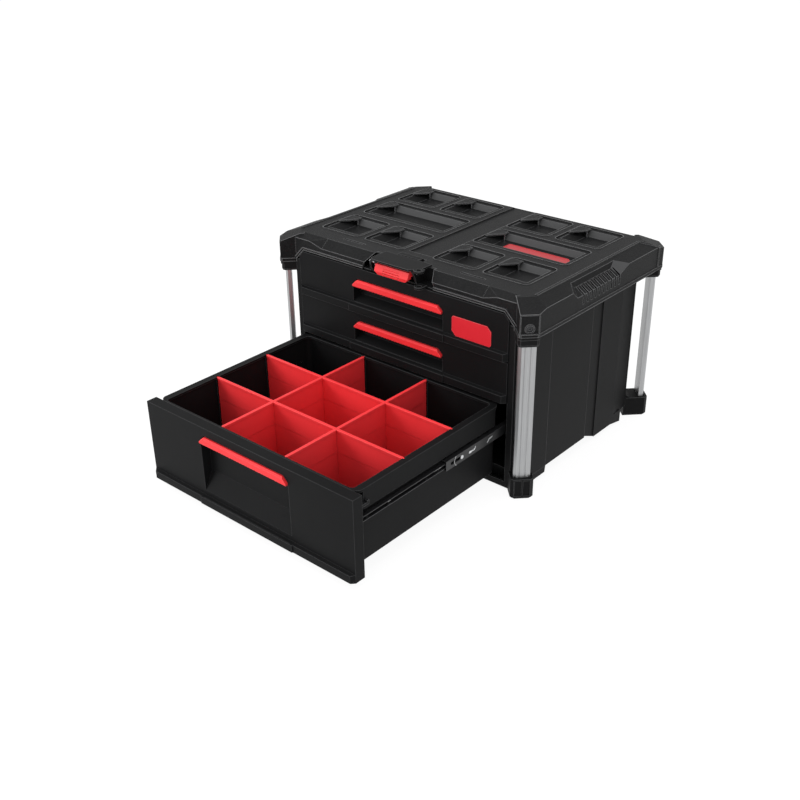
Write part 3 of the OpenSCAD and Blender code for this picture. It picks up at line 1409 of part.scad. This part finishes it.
module divider_long(s) color(red) placed() at_drawer(0) difference() {
    x = s * long_x_share * tub_half;
    y0 = back_y + shell_t + fit;
    y1 = back_y + tub_d - tub_wall - fit;
    union() {
        block([x - divider_t / 2, y0, divider_z0], [x + divider_t / 2, y1, divider_z1]);
        block([x - divider_bead_t / 2, y0 + guide_t + fit, divider_z1 - divider_bead_h],
            [x + divider_bead_t / 2, y1 - guide_t - fit, divider_z1]);
        block([x - step_w / 2, y0 + guide_t + fit, divider_z1 - divider_step_drop],
            [x + step_w / 2, y1 - guide_t - fit, divider_z1 - divider_bead_h]);
    }
    for (share = cross_y_share) {
        divider_notch(x, cross_y(share), divider_t / 2, divider_mid);
        divider_notch(x, cross_y(share), divider_bead_t / 2, divider_z1 - divider_bead_h - divider_lap);
        divider_notch(x, cross_y(share), step_w / 2, divider_z1 - divider_step_drop - divider_lap);
    }
}

module divider_cross(share) color(red) placed() at_drawer(0) difference() {
    y = cross_y(share);
    x1 = tub_half - tub_wall - fit;
    union() {
        block([-x1, y - divider_t / 2, divider_z0], [x1, y + divider_t / 2, divider_z1]);
        block([-x1 + guide_t + fit, y - divider_bead_t / 2, divider_z1 - divider_bead_h],
            [x1 - guide_t - fit, y + divider_bead_t / 2, divider_z1]);
        block([-x1 + guide_t + fit, y - step_w / 2, divider_z1 - divider_step_drop],
            [x1 - guide_t - fit, y + step_w / 2, divider_z1 - divider_bead_h]);
    }
    notch_half = divider_t / 2 + divider_lap;
    for (x = [-long_x_share * tub_half, long_x_share * tub_half])
        block([x - notch_half, y - divider_bead_t, divider_z0 - over],
            [x + notch_half, y + divider_bead_t, divider_mid + divider_lap]);
}

case_shell();
top_lid();
post(-1, -1);  // post_front_left
post(1, -1);  // post_front_right
post(-1, 1);  // post_rear_left
post(1, 1);  // post_rear_right
lid_screws();
post_screws();
lid_badge();
socket_pins();
latch_housing();
latch_pin();
latch_spring();
latch_paddle();
latch_tongue();
slide_outer(2);  // slide_outer_top
slide_outer(1);  // slide_outer_middle
slide_outer(0);  // slide_outer_bottom
slide_screws();
front_badge();
tub(2);  // tub_top
tub(1);  // tub_middle
tub(0);  // tub_bottom
drawer_front(2);  // front_top
drawer_front(1);  // front_middle
drawer_front(0);  // front_bottom
grip(2);  // grip_top
grip(1);  // grip_middle
grip(0);  // grip_bottom
grip_rod(2);  // grip_rod_top
grip_rod(1);  // grip_rod_middle
grip_rod(0);  // grip_rod_bottom
grip_spring(2);  // grip_spring_top
grip_spring(1);  // grip_spring_middle
grip_spring(0);  // grip_spring_bottom
lock_hooks(2);  // lock_hooks_top
lock_hooks(1);  // lock_hooks_middle
lock_hooks(0);  // lock_hooks_bottom
slide_inner(2);  // slide_inner_top
slide_inner(1);  // slide_inner_middle
slide_inner(0);  // slide_inner_bottom
slide_middle(2);  // slide_middle_top
slide_middle(1);  // slide_middle_middle
slide_middle(0);  // slide_middle_bottom
cage_outer(2);  // cage_outer_top
cage_outer(1);  // cage_outer_middle
cage_outer(0);  // cage_outer_bottom
cage_inner(2);  // cage_inner_top
cage_inner(1);  // cage_inner_middle
cage_inner(0);  // cage_inner_bottom
drawer_screws(2);  // drawer_screws_top
drawer_screws(1);  // drawer_screws_middle
drawer_screws(0);  // drawer_screws_bottom
divider_long(-1);  // divider_long_left
divider_long(1);  // divider_long_right
divider_cross(cross_y_share[0]);  // divider_cross_front
divider_cross(cross_y_share[1]);  // divider_cross_rear
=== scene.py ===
import json
import math

import bpy
import numpy as np
from mathutils import Matrix, Vector


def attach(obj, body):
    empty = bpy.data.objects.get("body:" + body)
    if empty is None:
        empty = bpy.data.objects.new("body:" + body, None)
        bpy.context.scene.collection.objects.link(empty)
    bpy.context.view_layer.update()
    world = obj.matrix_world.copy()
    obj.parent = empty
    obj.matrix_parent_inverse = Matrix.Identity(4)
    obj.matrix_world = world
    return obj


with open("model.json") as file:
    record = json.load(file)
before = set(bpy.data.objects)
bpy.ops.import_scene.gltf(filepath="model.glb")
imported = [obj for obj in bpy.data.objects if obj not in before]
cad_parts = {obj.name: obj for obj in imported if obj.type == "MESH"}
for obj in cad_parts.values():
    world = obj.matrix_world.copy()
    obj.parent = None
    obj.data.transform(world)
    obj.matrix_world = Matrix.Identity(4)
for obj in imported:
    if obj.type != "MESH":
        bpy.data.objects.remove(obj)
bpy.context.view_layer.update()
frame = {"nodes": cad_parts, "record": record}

print("frame loaded:", len(frame["nodes"]), "pieces")


class Maths:
    # wraps a socket, so that an expression on values adds its Math nodes

    def __init__(self, paint, socket):
        self.paint = paint
        self.socket = socket

    def step(self, operation, *values):
        node = self.paint.add("ShaderNodeMath", {"operation": operation}, dict(enumerate(values)))
        return node.value("Value")

    def __add__(self, other):
        return self.step("ADD", self, other)

    def __radd__(self, other):
        return self.step("ADD", other, self)

    def __sub__(self, other):
        return self.step("SUBTRACT", self, other)

    def __rsub__(self, other):
        return self.step("SUBTRACT", other, self)

    def __mul__(self, other):
        return self.step("MULTIPLY", self, other)

    def __rmul__(self, other):
        return self.step("MULTIPLY", other, self)

    def most(self, other):
        return self.step("MAXIMUM", self, other)

    def within(self, low, high):
        # 0 below low, 1 above high and a smooth rise between them
        return self.paint.add("ShaderNodeMapRange", {"interpolation_type": "SMOOTHSTEP"},
                              {"Value": self, "From Min": low, "From Max": high}).value("Result")


class Placed:
    # a node that has been added, whose outputs are asked for by name

    def __init__(self, paint, node):
        self.paint = paint
        self.node = node

    def value(self, name):
        return Maths(self.paint, self.node.outputs[name])


# where the masks of the materials begin and end
middleNoise = 0.5
edgeMask = {"bend": (0.003, 0.06), "free": (0.7, 0.95), "reach": 2.5, "bevelSamples": 8, "freeSamples": 6}
facingMask = (0.985, 0.996)


class Paint:
    # one material or world, whose nodes are added by type, settings and inputs

    def __init__(self, owner):
        owner.use_nodes = True
        self.owner = owner
        self.tree = owner.node_tree
        self.tree.nodes.clear()

    def add(self, kind, settings=None, inputs=None):
        node = self.tree.nodes.new(kind)
        for key, value in (settings or {}).items():
            setattr(node, key, value)
        for key, value in (inputs or {}).items():
            socket = node.inputs[key]
            if isinstance(value, Maths):
                self.tree.links.new(value.socket, socket)
            else:
                socket.default_value = value
        return Placed(self, node)

    def coords(self, scale=(1, 1, 1)):
        spot = self.add("ShaderNodeTexCoord").value("Object")
        return self.add("ShaderNodeMapping", None, {"Vector": spot, "Scale": scale}).value("Vector")

    def noise(self, scale, detail=2.0, rough=0.5, stretch=(1, 1, 1)):
        return self.add("ShaderNodeTexNoise", None, {"Vector": self.coords(stretch), "Scale": scale,
                                                    "Detail": detail, "Roughness": rough}).value("Fac")

    def mix(self, factor, first, second, blend="MIX"):
        node = self.add("ShaderNodeMix", {"data_type": "RGBA", "blend_type": blend})
        for name, value in (("Factor_Float", factor), ("A_Color", first), ("B_Color", second)):
            socket = next(s for s in node.node.inputs if s.identifier == name)
            if isinstance(value, Maths):
                self.tree.links.new(value.socket, socket)
            else:
                socket.default_value = (*value, 1) if isinstance(value, tuple) else value
        return Maths(self, next(s for s in node.node.outputs if s.identifier == "Result_Color"))

    def dot(self, first, second):
        node = self.add("ShaderNodeVectorMath", {"operation": "DOT_PRODUCT"}, {0: first, 1: second})
        return node.value("Value")

    def softEdge(self, radius):
        # the normal rounded over edges, and a mask that is 1 where an outward edge bends; the mask places the
        # painted edge highlight
        bevel = self.add("ShaderNodeBevel", {"samples": edgeMask["bevelSamples"]}, {"Radius": radius})
        rounded = bevel.value("Normal")
        plain = self.add("ShaderNodeNewGeometry").value("Normal")
        bend = 1 - self.dot(rounded, plain)
        free = self.add("ShaderNodeAmbientOcclusion", {"samples": edgeMask["freeSamples"]},
                        {"Distance": edgeMask["reach"] * radius}).value("AO")
        return rounded, bend.within(*edgeMask["bend"]) * free.within(*edgeMask["free"])

    def facing(self, direction):
        # 1 on the flats that face one way
        plain = self.add("ShaderNodeNewGeometry").value("True Normal")
        return self.dot(plain, direction).within(*facingMask)

    def finish(self, surface, name="BSDF", kind="ShaderNodeOutputMaterial"):
        self.add(kind, None, {"Surface": surface.value(name)})
        return self.owner


# what the moulded plastics share: the noises' settings and how strongly they act
mould = {"grainDetail": (2, 0.6), "cloudDetail": (4, 0.6), "cloudSpan": (0.3, 0.7), "speckDetail": (3, 0.7),
         "speckSpan": (0.42, 0.68), "scuffNoise": (38, 6, 0.7, (1, 3, 1)), "scuffSpan": (0.56, 0.74),
         "edgeLow": 0.5, "edgeCloud": 0.7, "grainRough": 0.06, "paintedLitFlatShare": 0.85, "smoothRough": 0.1}


# moulded plastic: fine spark-eroded grain, faint clouding, a painted highlight with a little wear along the
# outward edges, and, where a look asks for it, flats whose colour is painted lighter as a painted highlight
def mouldedPlastic(name, look):
    paint = Paint(bpy.data.materials.new(name))
    rounded, edge = paint.softEdge(look["edgeRadius"])
    grain = paint.noise(1 / look["grain"], *mould["grainDetail"])
    cloud = paint.noise(look["cloudScale"], *mould["cloudDetail"])
    scuff = paint.noise(*mould["scuffNoise"]).within(*mould["scuffSpan"])
    colour = paint.mix(cloud.within(*mould["cloudSpan"]), look["colour"], look["cloudColour"])
    speck = paint.noise(1 / look["speckSize"], *mould["speckDetail"]).within(*mould["speckSpan"])
    colour = paint.mix(speck * look["speckShare"], colour, look["speckColour"])
    # the outward edges are painted lighter: mostly a painted highlight, with a little edge wear
    edgeHighlightAndWear = edge * look["edgeHighlightAndWearShare"] * (mould["edgeLow"] + mould["edgeCloud"] * cloud)
    colour = paint.mix(edgeHighlightAndWear, colour, look["edgeHighlightAndWearColour"])
    rough = (look["rough"] + (cloud - middleNoise) * look["roughSpread"]
             + (grain - middleNoise) * mould["grainRough"] + scuff * look["scuff"])
    if "smoothAndLitFlats" in look:
        # steep flats of the mould that face front and up are smoother, and their colour is painted lighter: a
        # painted highlight of the light falling on them
        smoothLitFlat = paint.facing(look["smoothAndLitFlats"][0])
        for direction in look["smoothAndLitFlats"][1:]:
            smoothLitFlat = smoothLitFlat.most(paint.facing(direction))
        colour = paint.mix(smoothLitFlat * mould["paintedLitFlatShare"], colour, look["paintedLitFlatColour"])
        rough = rough - smoothLitFlat * mould["smoothRough"]
    bumped = paint.add("ShaderNodeBump", None, {
        "Strength": look["grainStrength"], "Distance": look["grainDepth"], "Height": grain,
        "Normal": rounded}).value("Normal")
    surface = paint.add("ShaderNodeBsdfPrincipled", None, {
        "Base Color": colour, "Roughness": rough, "Normal": bumped, "Specular IOR Level": look["specular"]})
    return paint.finish(surface)


# in each look the edge colour and its share paint a highlight along the outward edges, with a little wear
plasticLooks = {
    "case": {"colour": (0.0066, 0.0067, 0.007), "cloudColour": (0.0086, 0.0087, 0.009), "speckSize": 0.0016,
             "speckShare": 0.3, "speckColour": (0.012, 0.0121, 0.0125), "edgeHighlightAndWearColour": (0.13, 0.131, 0.134),
             "edgeHighlightAndWearShare": 0.7, "edgeRadius": 0.0015,
             "grain": 0.00075, "grainStrength": 0.35, "grainDepth": 0.00025,
             "cloudScale": 9, "rough": 0.5, "roughSpread": 0.1, "scuff": 0.05, "specular": 0.07},
    "lid": {"colour": (0.0062, 0.0063, 0.0066), "cloudColour": (0.0094, 0.0095, 0.0099), "speckSize": 0.0022,
            "speckShare": 0.55, "speckColour": (0.021, 0.0211, 0.0216), "edgeHighlightAndWearColour": (0.24, 0.241, 0.245),
            "edgeHighlightAndWearShare": 0.85, "edgeRadius": 0.0016,
            "grain": 0.0011, "grainStrength": 0.6, "grainDepth": 0.0005,
            "cloudScale": 12, "rough": 0.46, "roughSpread": 0.12, "scuff": 0.06, "specular": 0.08,
            # the flats facing these ways are smoother, and their colour is painted lighter as a painted
            # highlight
            "smoothAndLitFlats": ((0, -0.894, 0.447), (0.58, -0.288, 0.761), (-0.58, -0.288, 0.761)),
            "paintedLitFlatColour": (0.075, 0.0755, 0.077)},
    "drawer": {"colour": (0.006, 0.0061, 0.0064), "cloudColour": (0.0078, 0.0079, 0.0083), "speckSize": 0.0014,
               "speckShare": 0.2, "speckColour": (0.0105, 0.0106, 0.011), "edgeHighlightAndWearColour": (0.09, 0.091, 0.094),
               "edgeHighlightAndWearShare": 0.6, "edgeRadius": 0.0012,
               "grain": 0.0007, "grainStrength": 0.3, "grainDepth": 0.0002,
               "cloudScale": 8, "rough": 0.48, "roughSpread": 0.08, "scuff": 0.05, "specular": 0.06},
    "red": {"colour": (0.78, 0.026, 0.031), "cloudColour": (0.84, 0.032, 0.038), "speckSize": 0.0015,
            "speckShare": 0.25, "speckColour": (0.7, 0.02, 0.024), "edgeHighlightAndWearColour": (0.98, 0.16, 0.16),
            "edgeHighlightAndWearShare": 0.7, "edgeRadius": 0.001,
            "grain": 0.0008, "grainStrength": 0.2, "grainDepth": 0.00015,
            "cloudScale": 10, "rough": 0.42, "roughSpread": 0.08, "scuff": 0.04, "specular": 0.2},
    "divider": {"colour": (0.86, 0.036, 0.042), "cloudColour": (0.9, 0.04, 0.046), "speckSize": 0.0015,
                "speckShare": 0.2, "speckColour": (0.8, 0.03, 0.035), "edgeHighlightAndWearColour": (1.0, 0.16, 0.16),
                "edgeHighlightAndWearShare": 0.7, "edgeRadius": 0.0009,
                "grain": 0.0008, "grainStrength": 0.2, "grainDepth": 0.00015,
                "cloudScale": 10, "rough": 0.45, "roughSpread": 0.08, "scuff": 0.04, "specular": 0.2},
    "badge": {"colour": (0.62, 0.02, 0.03), "cloudColour": (0.66, 0.022, 0.034), "speckSize": 0.001,
              "speckShare": 0.1, "speckColour": (0.6, 0.016, 0.024), "edgeHighlightAndWearColour": (0.85, 0.3, 0.3),
              "edgeHighlightAndWearShare": 0.8, "edgeRadius": 0.0005,
              "grain": 0.0006, "grainStrength": 0.08, "grainDepth": 0.0001,
              "cloudScale": 20, "rough": 0.25, "roughSpread": 0.05, "scuff": 0.02, "specular": 0.35},
    "lidBadge": {"colour": (0.42, 0.009, 0.015), "cloudColour": (0.45, 0.01, 0.017), "speckSize": 0.001,
                 "speckShare": 0.1, "speckColour": (0.4, 0.008, 0.013), "edgeHighlightAndWearColour": (0.7, 0.2, 0.2),
                 "edgeHighlightAndWearShare": 0.8, "edgeRadius": 0.0005,
                 "grain": 0.0006, "grainStrength": 0.08, "grainDepth": 0.0001,
                 "cloudScale": 20, "rough": 0.25, "roughSpread": 0.05, "scuff": 0.02, "specular": 0.3},
}


# what the metals share
drawn = {"streakDetail": (4, 0.65), "streakSpan": (0.25, 0.75), "cloudNoise": (25, 3, 0.5), "cloudRough": 0.06,
         "bumpDepth": 0.0001}


# drawn or plated metal: streaks along one axis in the colour, the roughness and the bump, and a painted
# highlight with a little wear along the outward edges
def streakedMetal(name, look):
    paint = Paint(bpy.data.materials.new(name))
    rounded, edge = paint.softEdge(look["edgeRadius"])
    streak = paint.noise(look["streakScale"], *drawn["streakDetail"], look["stretch"])
    cloud = paint.noise(*drawn["cloudNoise"])
    colour = paint.mix(streak.within(*drawn["streakSpan"]), look["colour"], look["streakColour"])
    # the outward edges are painted lighter: mostly a painted highlight, with a little edge wear
    colour = paint.mix(edge * look["edgeHighlightAndWearShare"], colour, look["edgeHighlightAndWearColour"])
    rough = (look["rough"] + (streak - middleNoise) * look["roughSpread"]
             + (cloud - middleNoise) * drawn["cloudRough"])
    bumped = paint.add("ShaderNodeBump", None, {"Strength": look["bump"], "Distance": drawn["bumpDepth"],
                                                "Height": streak, "Normal": rounded}).value("Normal")
    surface = paint.add("ShaderNodeBsdfPrincipled", None, {
        "Base Color": colour, "Roughness": rough, "Metallic": look["metallic"], "Normal": bumped})
    return paint.finish(surface)


# in each look the edge colour and its share paint a highlight along the outward edges, with a little wear
metalLooks = {
    "post": {"colour": (0.36, 0.365, 0.37), "streakColour": (0.46, 0.465, 0.47), "edgeHighlightAndWearColour": (0.7, 0.7, 0.71),
             "edgeHighlightAndWearShare": 0.6, "edgeRadius": 0.0005, "streakScale": 900, "stretch": (1, 1, 0.02), "rough": 0.42,
             "roughSpread": 0.12, "bump": 0.25, "metallic": 1.0},
    "darkZinc": {"colour": (0.035, 0.0355, 0.0365), "streakColour": (0.06, 0.061, 0.063),
                 "edgeHighlightAndWearColour": (0.3, 0.3, 0.31), "edgeHighlightAndWearShare": 0.6, "edgeRadius": 0.0004, "streakScale": 500,
                 "stretch": (1, 1, 1), "rough": 0.4, "roughSpread": 0.12, "bump": 0.15, "metallic": 0.9},
    "zinc": {"colour": (0.62, 0.63, 0.64), "streakColour": (0.74, 0.75, 0.76), "edgeHighlightAndWearColour": (0.9, 0.9, 0.9),
             "edgeHighlightAndWearShare": 0.5, "edgeRadius": 0.0003, "streakScale": 500, "stretch": (1, 1, 1), "rough": 0.28,
             "roughSpread": 0.12, "bump": 0.15, "metallic": 1.0},
    "steel": {"colour": (0.42, 0.42, 0.43), "streakColour": (0.55, 0.55, 0.56),
              "edgeHighlightAndWearColour": (0.75, 0.75, 0.76), "edgeHighlightAndWearShare": 0.5, "edgeRadius": 0.0003, "streakScale": 700,
              "stretch": (0.05, 1, 1), "rough": 0.3, "roughSpread": 0.12, "bump": 0.15, "metallic": 1.0},
    "slide": {"colour": (0.012, 0.012, 0.013), "streakColour": (0.02, 0.02, 0.021),
              "edgeHighlightAndWearColour": (0.16, 0.16, 0.17), "edgeHighlightAndWearShare": 0.55, "edgeRadius": 0.0004, "streakScale": 600,
              "stretch": (1, 0.03, 1), "rough": 0.3, "roughSpread": 0.14, "bump": 0.2, "metallic": 0.3},
}

finishes = {}
for key, look in plasticLooks.items():
    finishes[key] = mouldedPlastic(key + "Finish", look)
for key, look in metalLooks.items():
    finishes[key] = streakedMetal(key + "Finish", look)
print("materials made:", len(finishes))

# every CAD node keeps its shape and takes the finish of its material slot
slotOf = {part["node"]: part["material_slot"] for part in frame["record"]["subparts"]}
special = {"lid_badge": "lidBadge", "front_badge": "badge", "lid_screws": "darkZinc"}
for name, thing in frame["nodes"].items():
    key = "divider" if name.startswith("divider_") else special.get(name, slotOf[name])
    thing.data.materials.clear()
    thing.data.materials.append(finishes[key])
print("finishes given to the frame")


# closed meshes from rings of points, joined by quads and capped at both ends
def ringMesh(name, rings, body, finish):
    count, around = rings.shape[:2]
    ring = np.arange(around)
    turned = np.roll(ring, -1)
    starts = np.arange(count - 1)[:, None] * around
    quads = np.stack([starts + ring, starts + turned, starts + around + turned, starts + around + ring], -1)
    faces = quads.reshape(-1, 4).tolist() + [ring[::-1].tolist(), ((count - 1) * around + ring).tolist()]
    mesh = bpy.data.meshes.new(name)
    mesh.from_pydata(rings.reshape(-1, 3).tolist(), [], faces)
    mesh.materials.append(finishes[finish])
    piece = bpy.data.objects.new(name, mesh)
    bpy.context.scene.collection.objects.link(piece)
    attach(piece, body)
    return piece


def drawnIn(outline, depth):
    # a counterclockwise outline whose sides are moved inwards
    ahead = np.roll(outline, -1, 0) - outline
    ahead /= np.linalg.norm(ahead, axis=1)[:, None]
    inward = np.stack([-ahead[:, 1], ahead[:, 0]], 1)
    before = np.roll(inward, 1, 0)
    along = inward + before
    return outline + depth * along * (2 / (along ** 2).sum(1))[:, None]


def plateRings(outline, low, high, ease):
    # a flat plate between two levels, with its edges eased
    small = drawnIn(outline, ease)
    layers = [(small, low), (outline, low + ease), (outline, high - ease), (small, high)]
    return np.stack([np.column_stack([shape, np.full(len(shape), level)]) for shape, level in layers])


def wireRings(path, radius, around=8):
    # a round wire along a path
    ahead = np.gradient(path, axis=0)
    ahead /= np.linalg.norm(ahead, axis=1)[:, None]
    side = np.cross(ahead, (1.0, 0.0, 0.0))
    side /= np.linalg.norm(side, axis=1)[:, None]
    rise = np.cross(ahead, side)
    turn = np.linspace(0, 2 * np.pi, around, endpoint=False)[None, :, None]
    return path[:, None] + radius * (np.cos(turn) * side[:, None] + np.sin(turn) * rise[:, None])


def roundOutline(radius, stretch=1.0, around=28):
    turn = np.linspace(0, 2 * np.pi, around, endpoint=False)
    return np.column_stack([radius * stretch * np.cos(turn), radius * np.sin(turn)])


# the plated fittings of the slides: each lies on its rail's outer face, y along it and z across it
slideFittings = {
    "lever": {"rail": "drawer", "at": (0.2175, -0.3425), "thick": 0.0012,
              "outline": ((-0.021, -0.0004), (-0.006, -0.0018), (0.016, -0.0024), (0.02, -0.001), (0.02, 0.001),
                          (0.016, 0.0024), (-0.006, 0.0012))},
    "tab": {"rail": "drawer", "at": (0.2175, -0.463), "thick": 0.001,
            "outline": ((-0.003, -0.002), (0.004, -0.002), (0.0025, 0.0022))},
    "rivet": {"rail": "slide_middles", "at": (0.22455, -0.3), "thick": 0.0008,
              "outline": roundOutline(0.0031, 1.15)},
    "rivetHead": {"rail": "slide_middles", "at": (0.22455, -0.3), "thick": 0.00105,
                  "outline": roundOutline(0.0016)},
    "hookSlot": {"rail": "slide_middles", "at": (0.22455, -0.274), "thick": 0.0007,
                 "outline": ((-0.0085, -0.0022), (-0.0035, -0.0026), (0.0005, -0.0012), (0.0045, -0.002),
                             (0.0075, 0.0004), (0.0085, 0.0042), (0.0068, 0.0044), (0.0058, 0.0012),
                             (0.0035, 0.0), (-0.001, 0.001), (-0.006, 0.0016), (-0.0085, 0.0002))},
    "lance": {"rail": "slide_middles", "at": (0.22455, -0.229), "thick": 0.0007,
              "outline": ((-0.0075, -0.0034), (-0.005, -0.0034), (0.0, 0.0002), (0.0065, 0.001),
                          (0.0075, 0.0034), (-0.001, 0.0026))},
}
clip = {"at": (0.22495, -0.316), "radius": 0.00035, "reach": 0.0078, "bow": 0.0028, "hook": 0.0012, "turnIn": 6,
        "points": 17}
plateEase = 0.00015
# the fittings are placed as on a drawer drawn out fully; on a closed one the drawer is this far back
closedBy = {"bottom": 0.0, "middle": 0.356, "top": 0.356}
slideHeight = {"bottom": 0.1105, "middle": 0.184, "top": 0.2615}
share = {"drawer": 1.0, "slide_middles": 0.5}
# the frame's origin is this far in front of the case's own middle
originShift = 0.17325
for level in slideHeight:
    for side, word in ((-1, "left"), (1, "right")):
        for key, look in slideFittings.items():
            x, y = look["at"]
            y += originShift + share[look["rail"]] * closedBy[level]
            flat = plateRings(np.array(look["outline"], float), 0.0, look["thick"], plateEase)
            rings = np.stack([side * (x + flat[..., 2]), y + flat[..., 0],
                              slideHeight[level] + flat[..., 1]], -1)
            ringMesh("slide_%s_%s_%s" % (key, level, word), rings[:, ::-1] if side < 0 else rings,
                     "%s_%s" % (level, look["rail"]), "zinc")
        x, y = clip["at"]
        y += originShift + share["slide_middles"] * closedBy[level]
        t = np.linspace(-1, 1, clip["points"])
        bend = clip["hook"] * np.abs(t) ** clip["turnIn"] - clip["bow"] * (1 - t ** 2)
        path = np.stack([np.full(clip["points"], side * x), y + bend,
                         slideHeight[level] + clip["reach"] * t], -1)
        ringMesh("slide_clip_%s_%s" % (level, word), wireRings(path, clip["radius"]), level + "_slide_middles",
                 "zinc")
print("slide fittings made")


# a floor that is white to the eye and still takes the object's shadow
floorLook = {"half": 9.0, "colour": (0.9, 0.9, 0.9, 1), "glow": 1.08, "seenShare": 0.85}


def paleFloor():
    paint = Paint(bpy.data.materials.new("floorFinish"))
    path = paint.add("ShaderNodeLightPath")
    seen = path.value("Is Camera Ray").most(path.value("Is Glossy Ray"))
    matte = paint.add("ShaderNodeBsdfDiffuse", None, {"Color": floorLook["colour"]}).value("BSDF")
    glow = paint.add("ShaderNodeEmission", None, {"Color": (1, 1, 1, 1), "Strength": floorLook["glow"]})
    both = paint.add("ShaderNodeMixShader", None, {0: seen * floorLook["seenShare"], 1: matte,
                                                   2: glow.value("Emission")})
    return paint.finish(both, "Shader")


half = floorLook["half"]
floorMesh = bpy.data.meshes.new("floor")
corners = [(-half, -half, 0), (half, -half, 0), (half, half, 0), (-half, half, 0)]
floorMesh.from_pydata(corners, [], [(0, 1, 2, 3)])
floor = bpy.data.objects.new("floor", floorMesh)
floorMesh.materials.append(paleFloor())
bpy.context.scene.collection.objects.link(floor)

skyLevel = 1.0


# an even sky
def studioWorld():
    paint = Paint(bpy.data.worlds.new("studio"))
    path = paint.add("ShaderNodeLightPath")
    seen = path.value("Is Camera Ray").most(path.value("Is Glossy Ray")).most(path.value("Is Transmission Ray"))
    light = paint.add("ShaderNodeMapRange", None, {"Value": seen, "To Min": skyLevel, "To Max": 1.0})
    glow = paint.add("ShaderNodeBackground", None, {"Strength": light.value("Result")})
    return paint.finish(glow, "Background", "ShaderNodeOutputWorld")


bpy.context.scene.world = studioWorld()

lamps = {
    "overhead": {"place": (0.2, -0.2, 2.2), "aim": (0.0, 0.0, 0.2), "size": 1.6, "power": 18},
    "frontRight": {"place": (1.9, -1.43, 1.1), "aim": (0.0, -0.03, 0.15), "size": 1.4, "power": 5},
    "left": {"place": (-1.6, -1.2, 1.4), "aim": (0.0, -0.13, 0.1), "size": 1.2, "power": 7},
    "lowFront": {"place": (-1.15, -1.85, 0.85), "aim": (0.0, 0.0, 0.25), "size": 0.8, "power": 14},
}
for name, lamp in lamps.items():
    light = bpy.data.lights.new(name, "AREA")
    light.shape = "SQUARE"
    light.size = lamp["size"]
    light.energy = lamp["power"]
    thing = bpy.data.objects.new(name, light)
    aim = Vector(lamp["aim"]) - Vector(lamp["place"])
    thing.matrix_world = Matrix.Translation(lamp["place"]) @ aim.to_track_quat("-Z", "Y").to_matrix().to_4x4()
    bpy.context.scene.collection.objects.link(thing)

# the camera stands where the photograph was taken
view = {"lens": 47.507, "sensor": 36, "near": 0.05, "far": 60, "place": (1.077244, -1.238873, 0.956870),
        "turn": (1.96262262, 0.723425069, -0.452056897)}
turn = Vector(view["turn"])
rows = Matrix.Rotation(turn.length, 3, turn.normalized())
camera = bpy.data.cameras.new("camera")
camera.lens = view["lens"]
camera.sensor_width = view["sensor"]
camera.clip_start = view["near"]
camera.clip_end = view["far"]
eye = bpy.data.objects.new("camera", camera)
axes = Matrix((rows[0], -rows[1], -rows[2])).transposed()
eye.matrix_world = Matrix.Translation(view["place"]) @ axes.to_4x4()
bpy.context.scene.collection.objects.link(eye)
bpy.context.scene.camera = eye
bpy.context.scene.view_settings.view_transform = "Standard"
print("floor, lamps and camera placed")
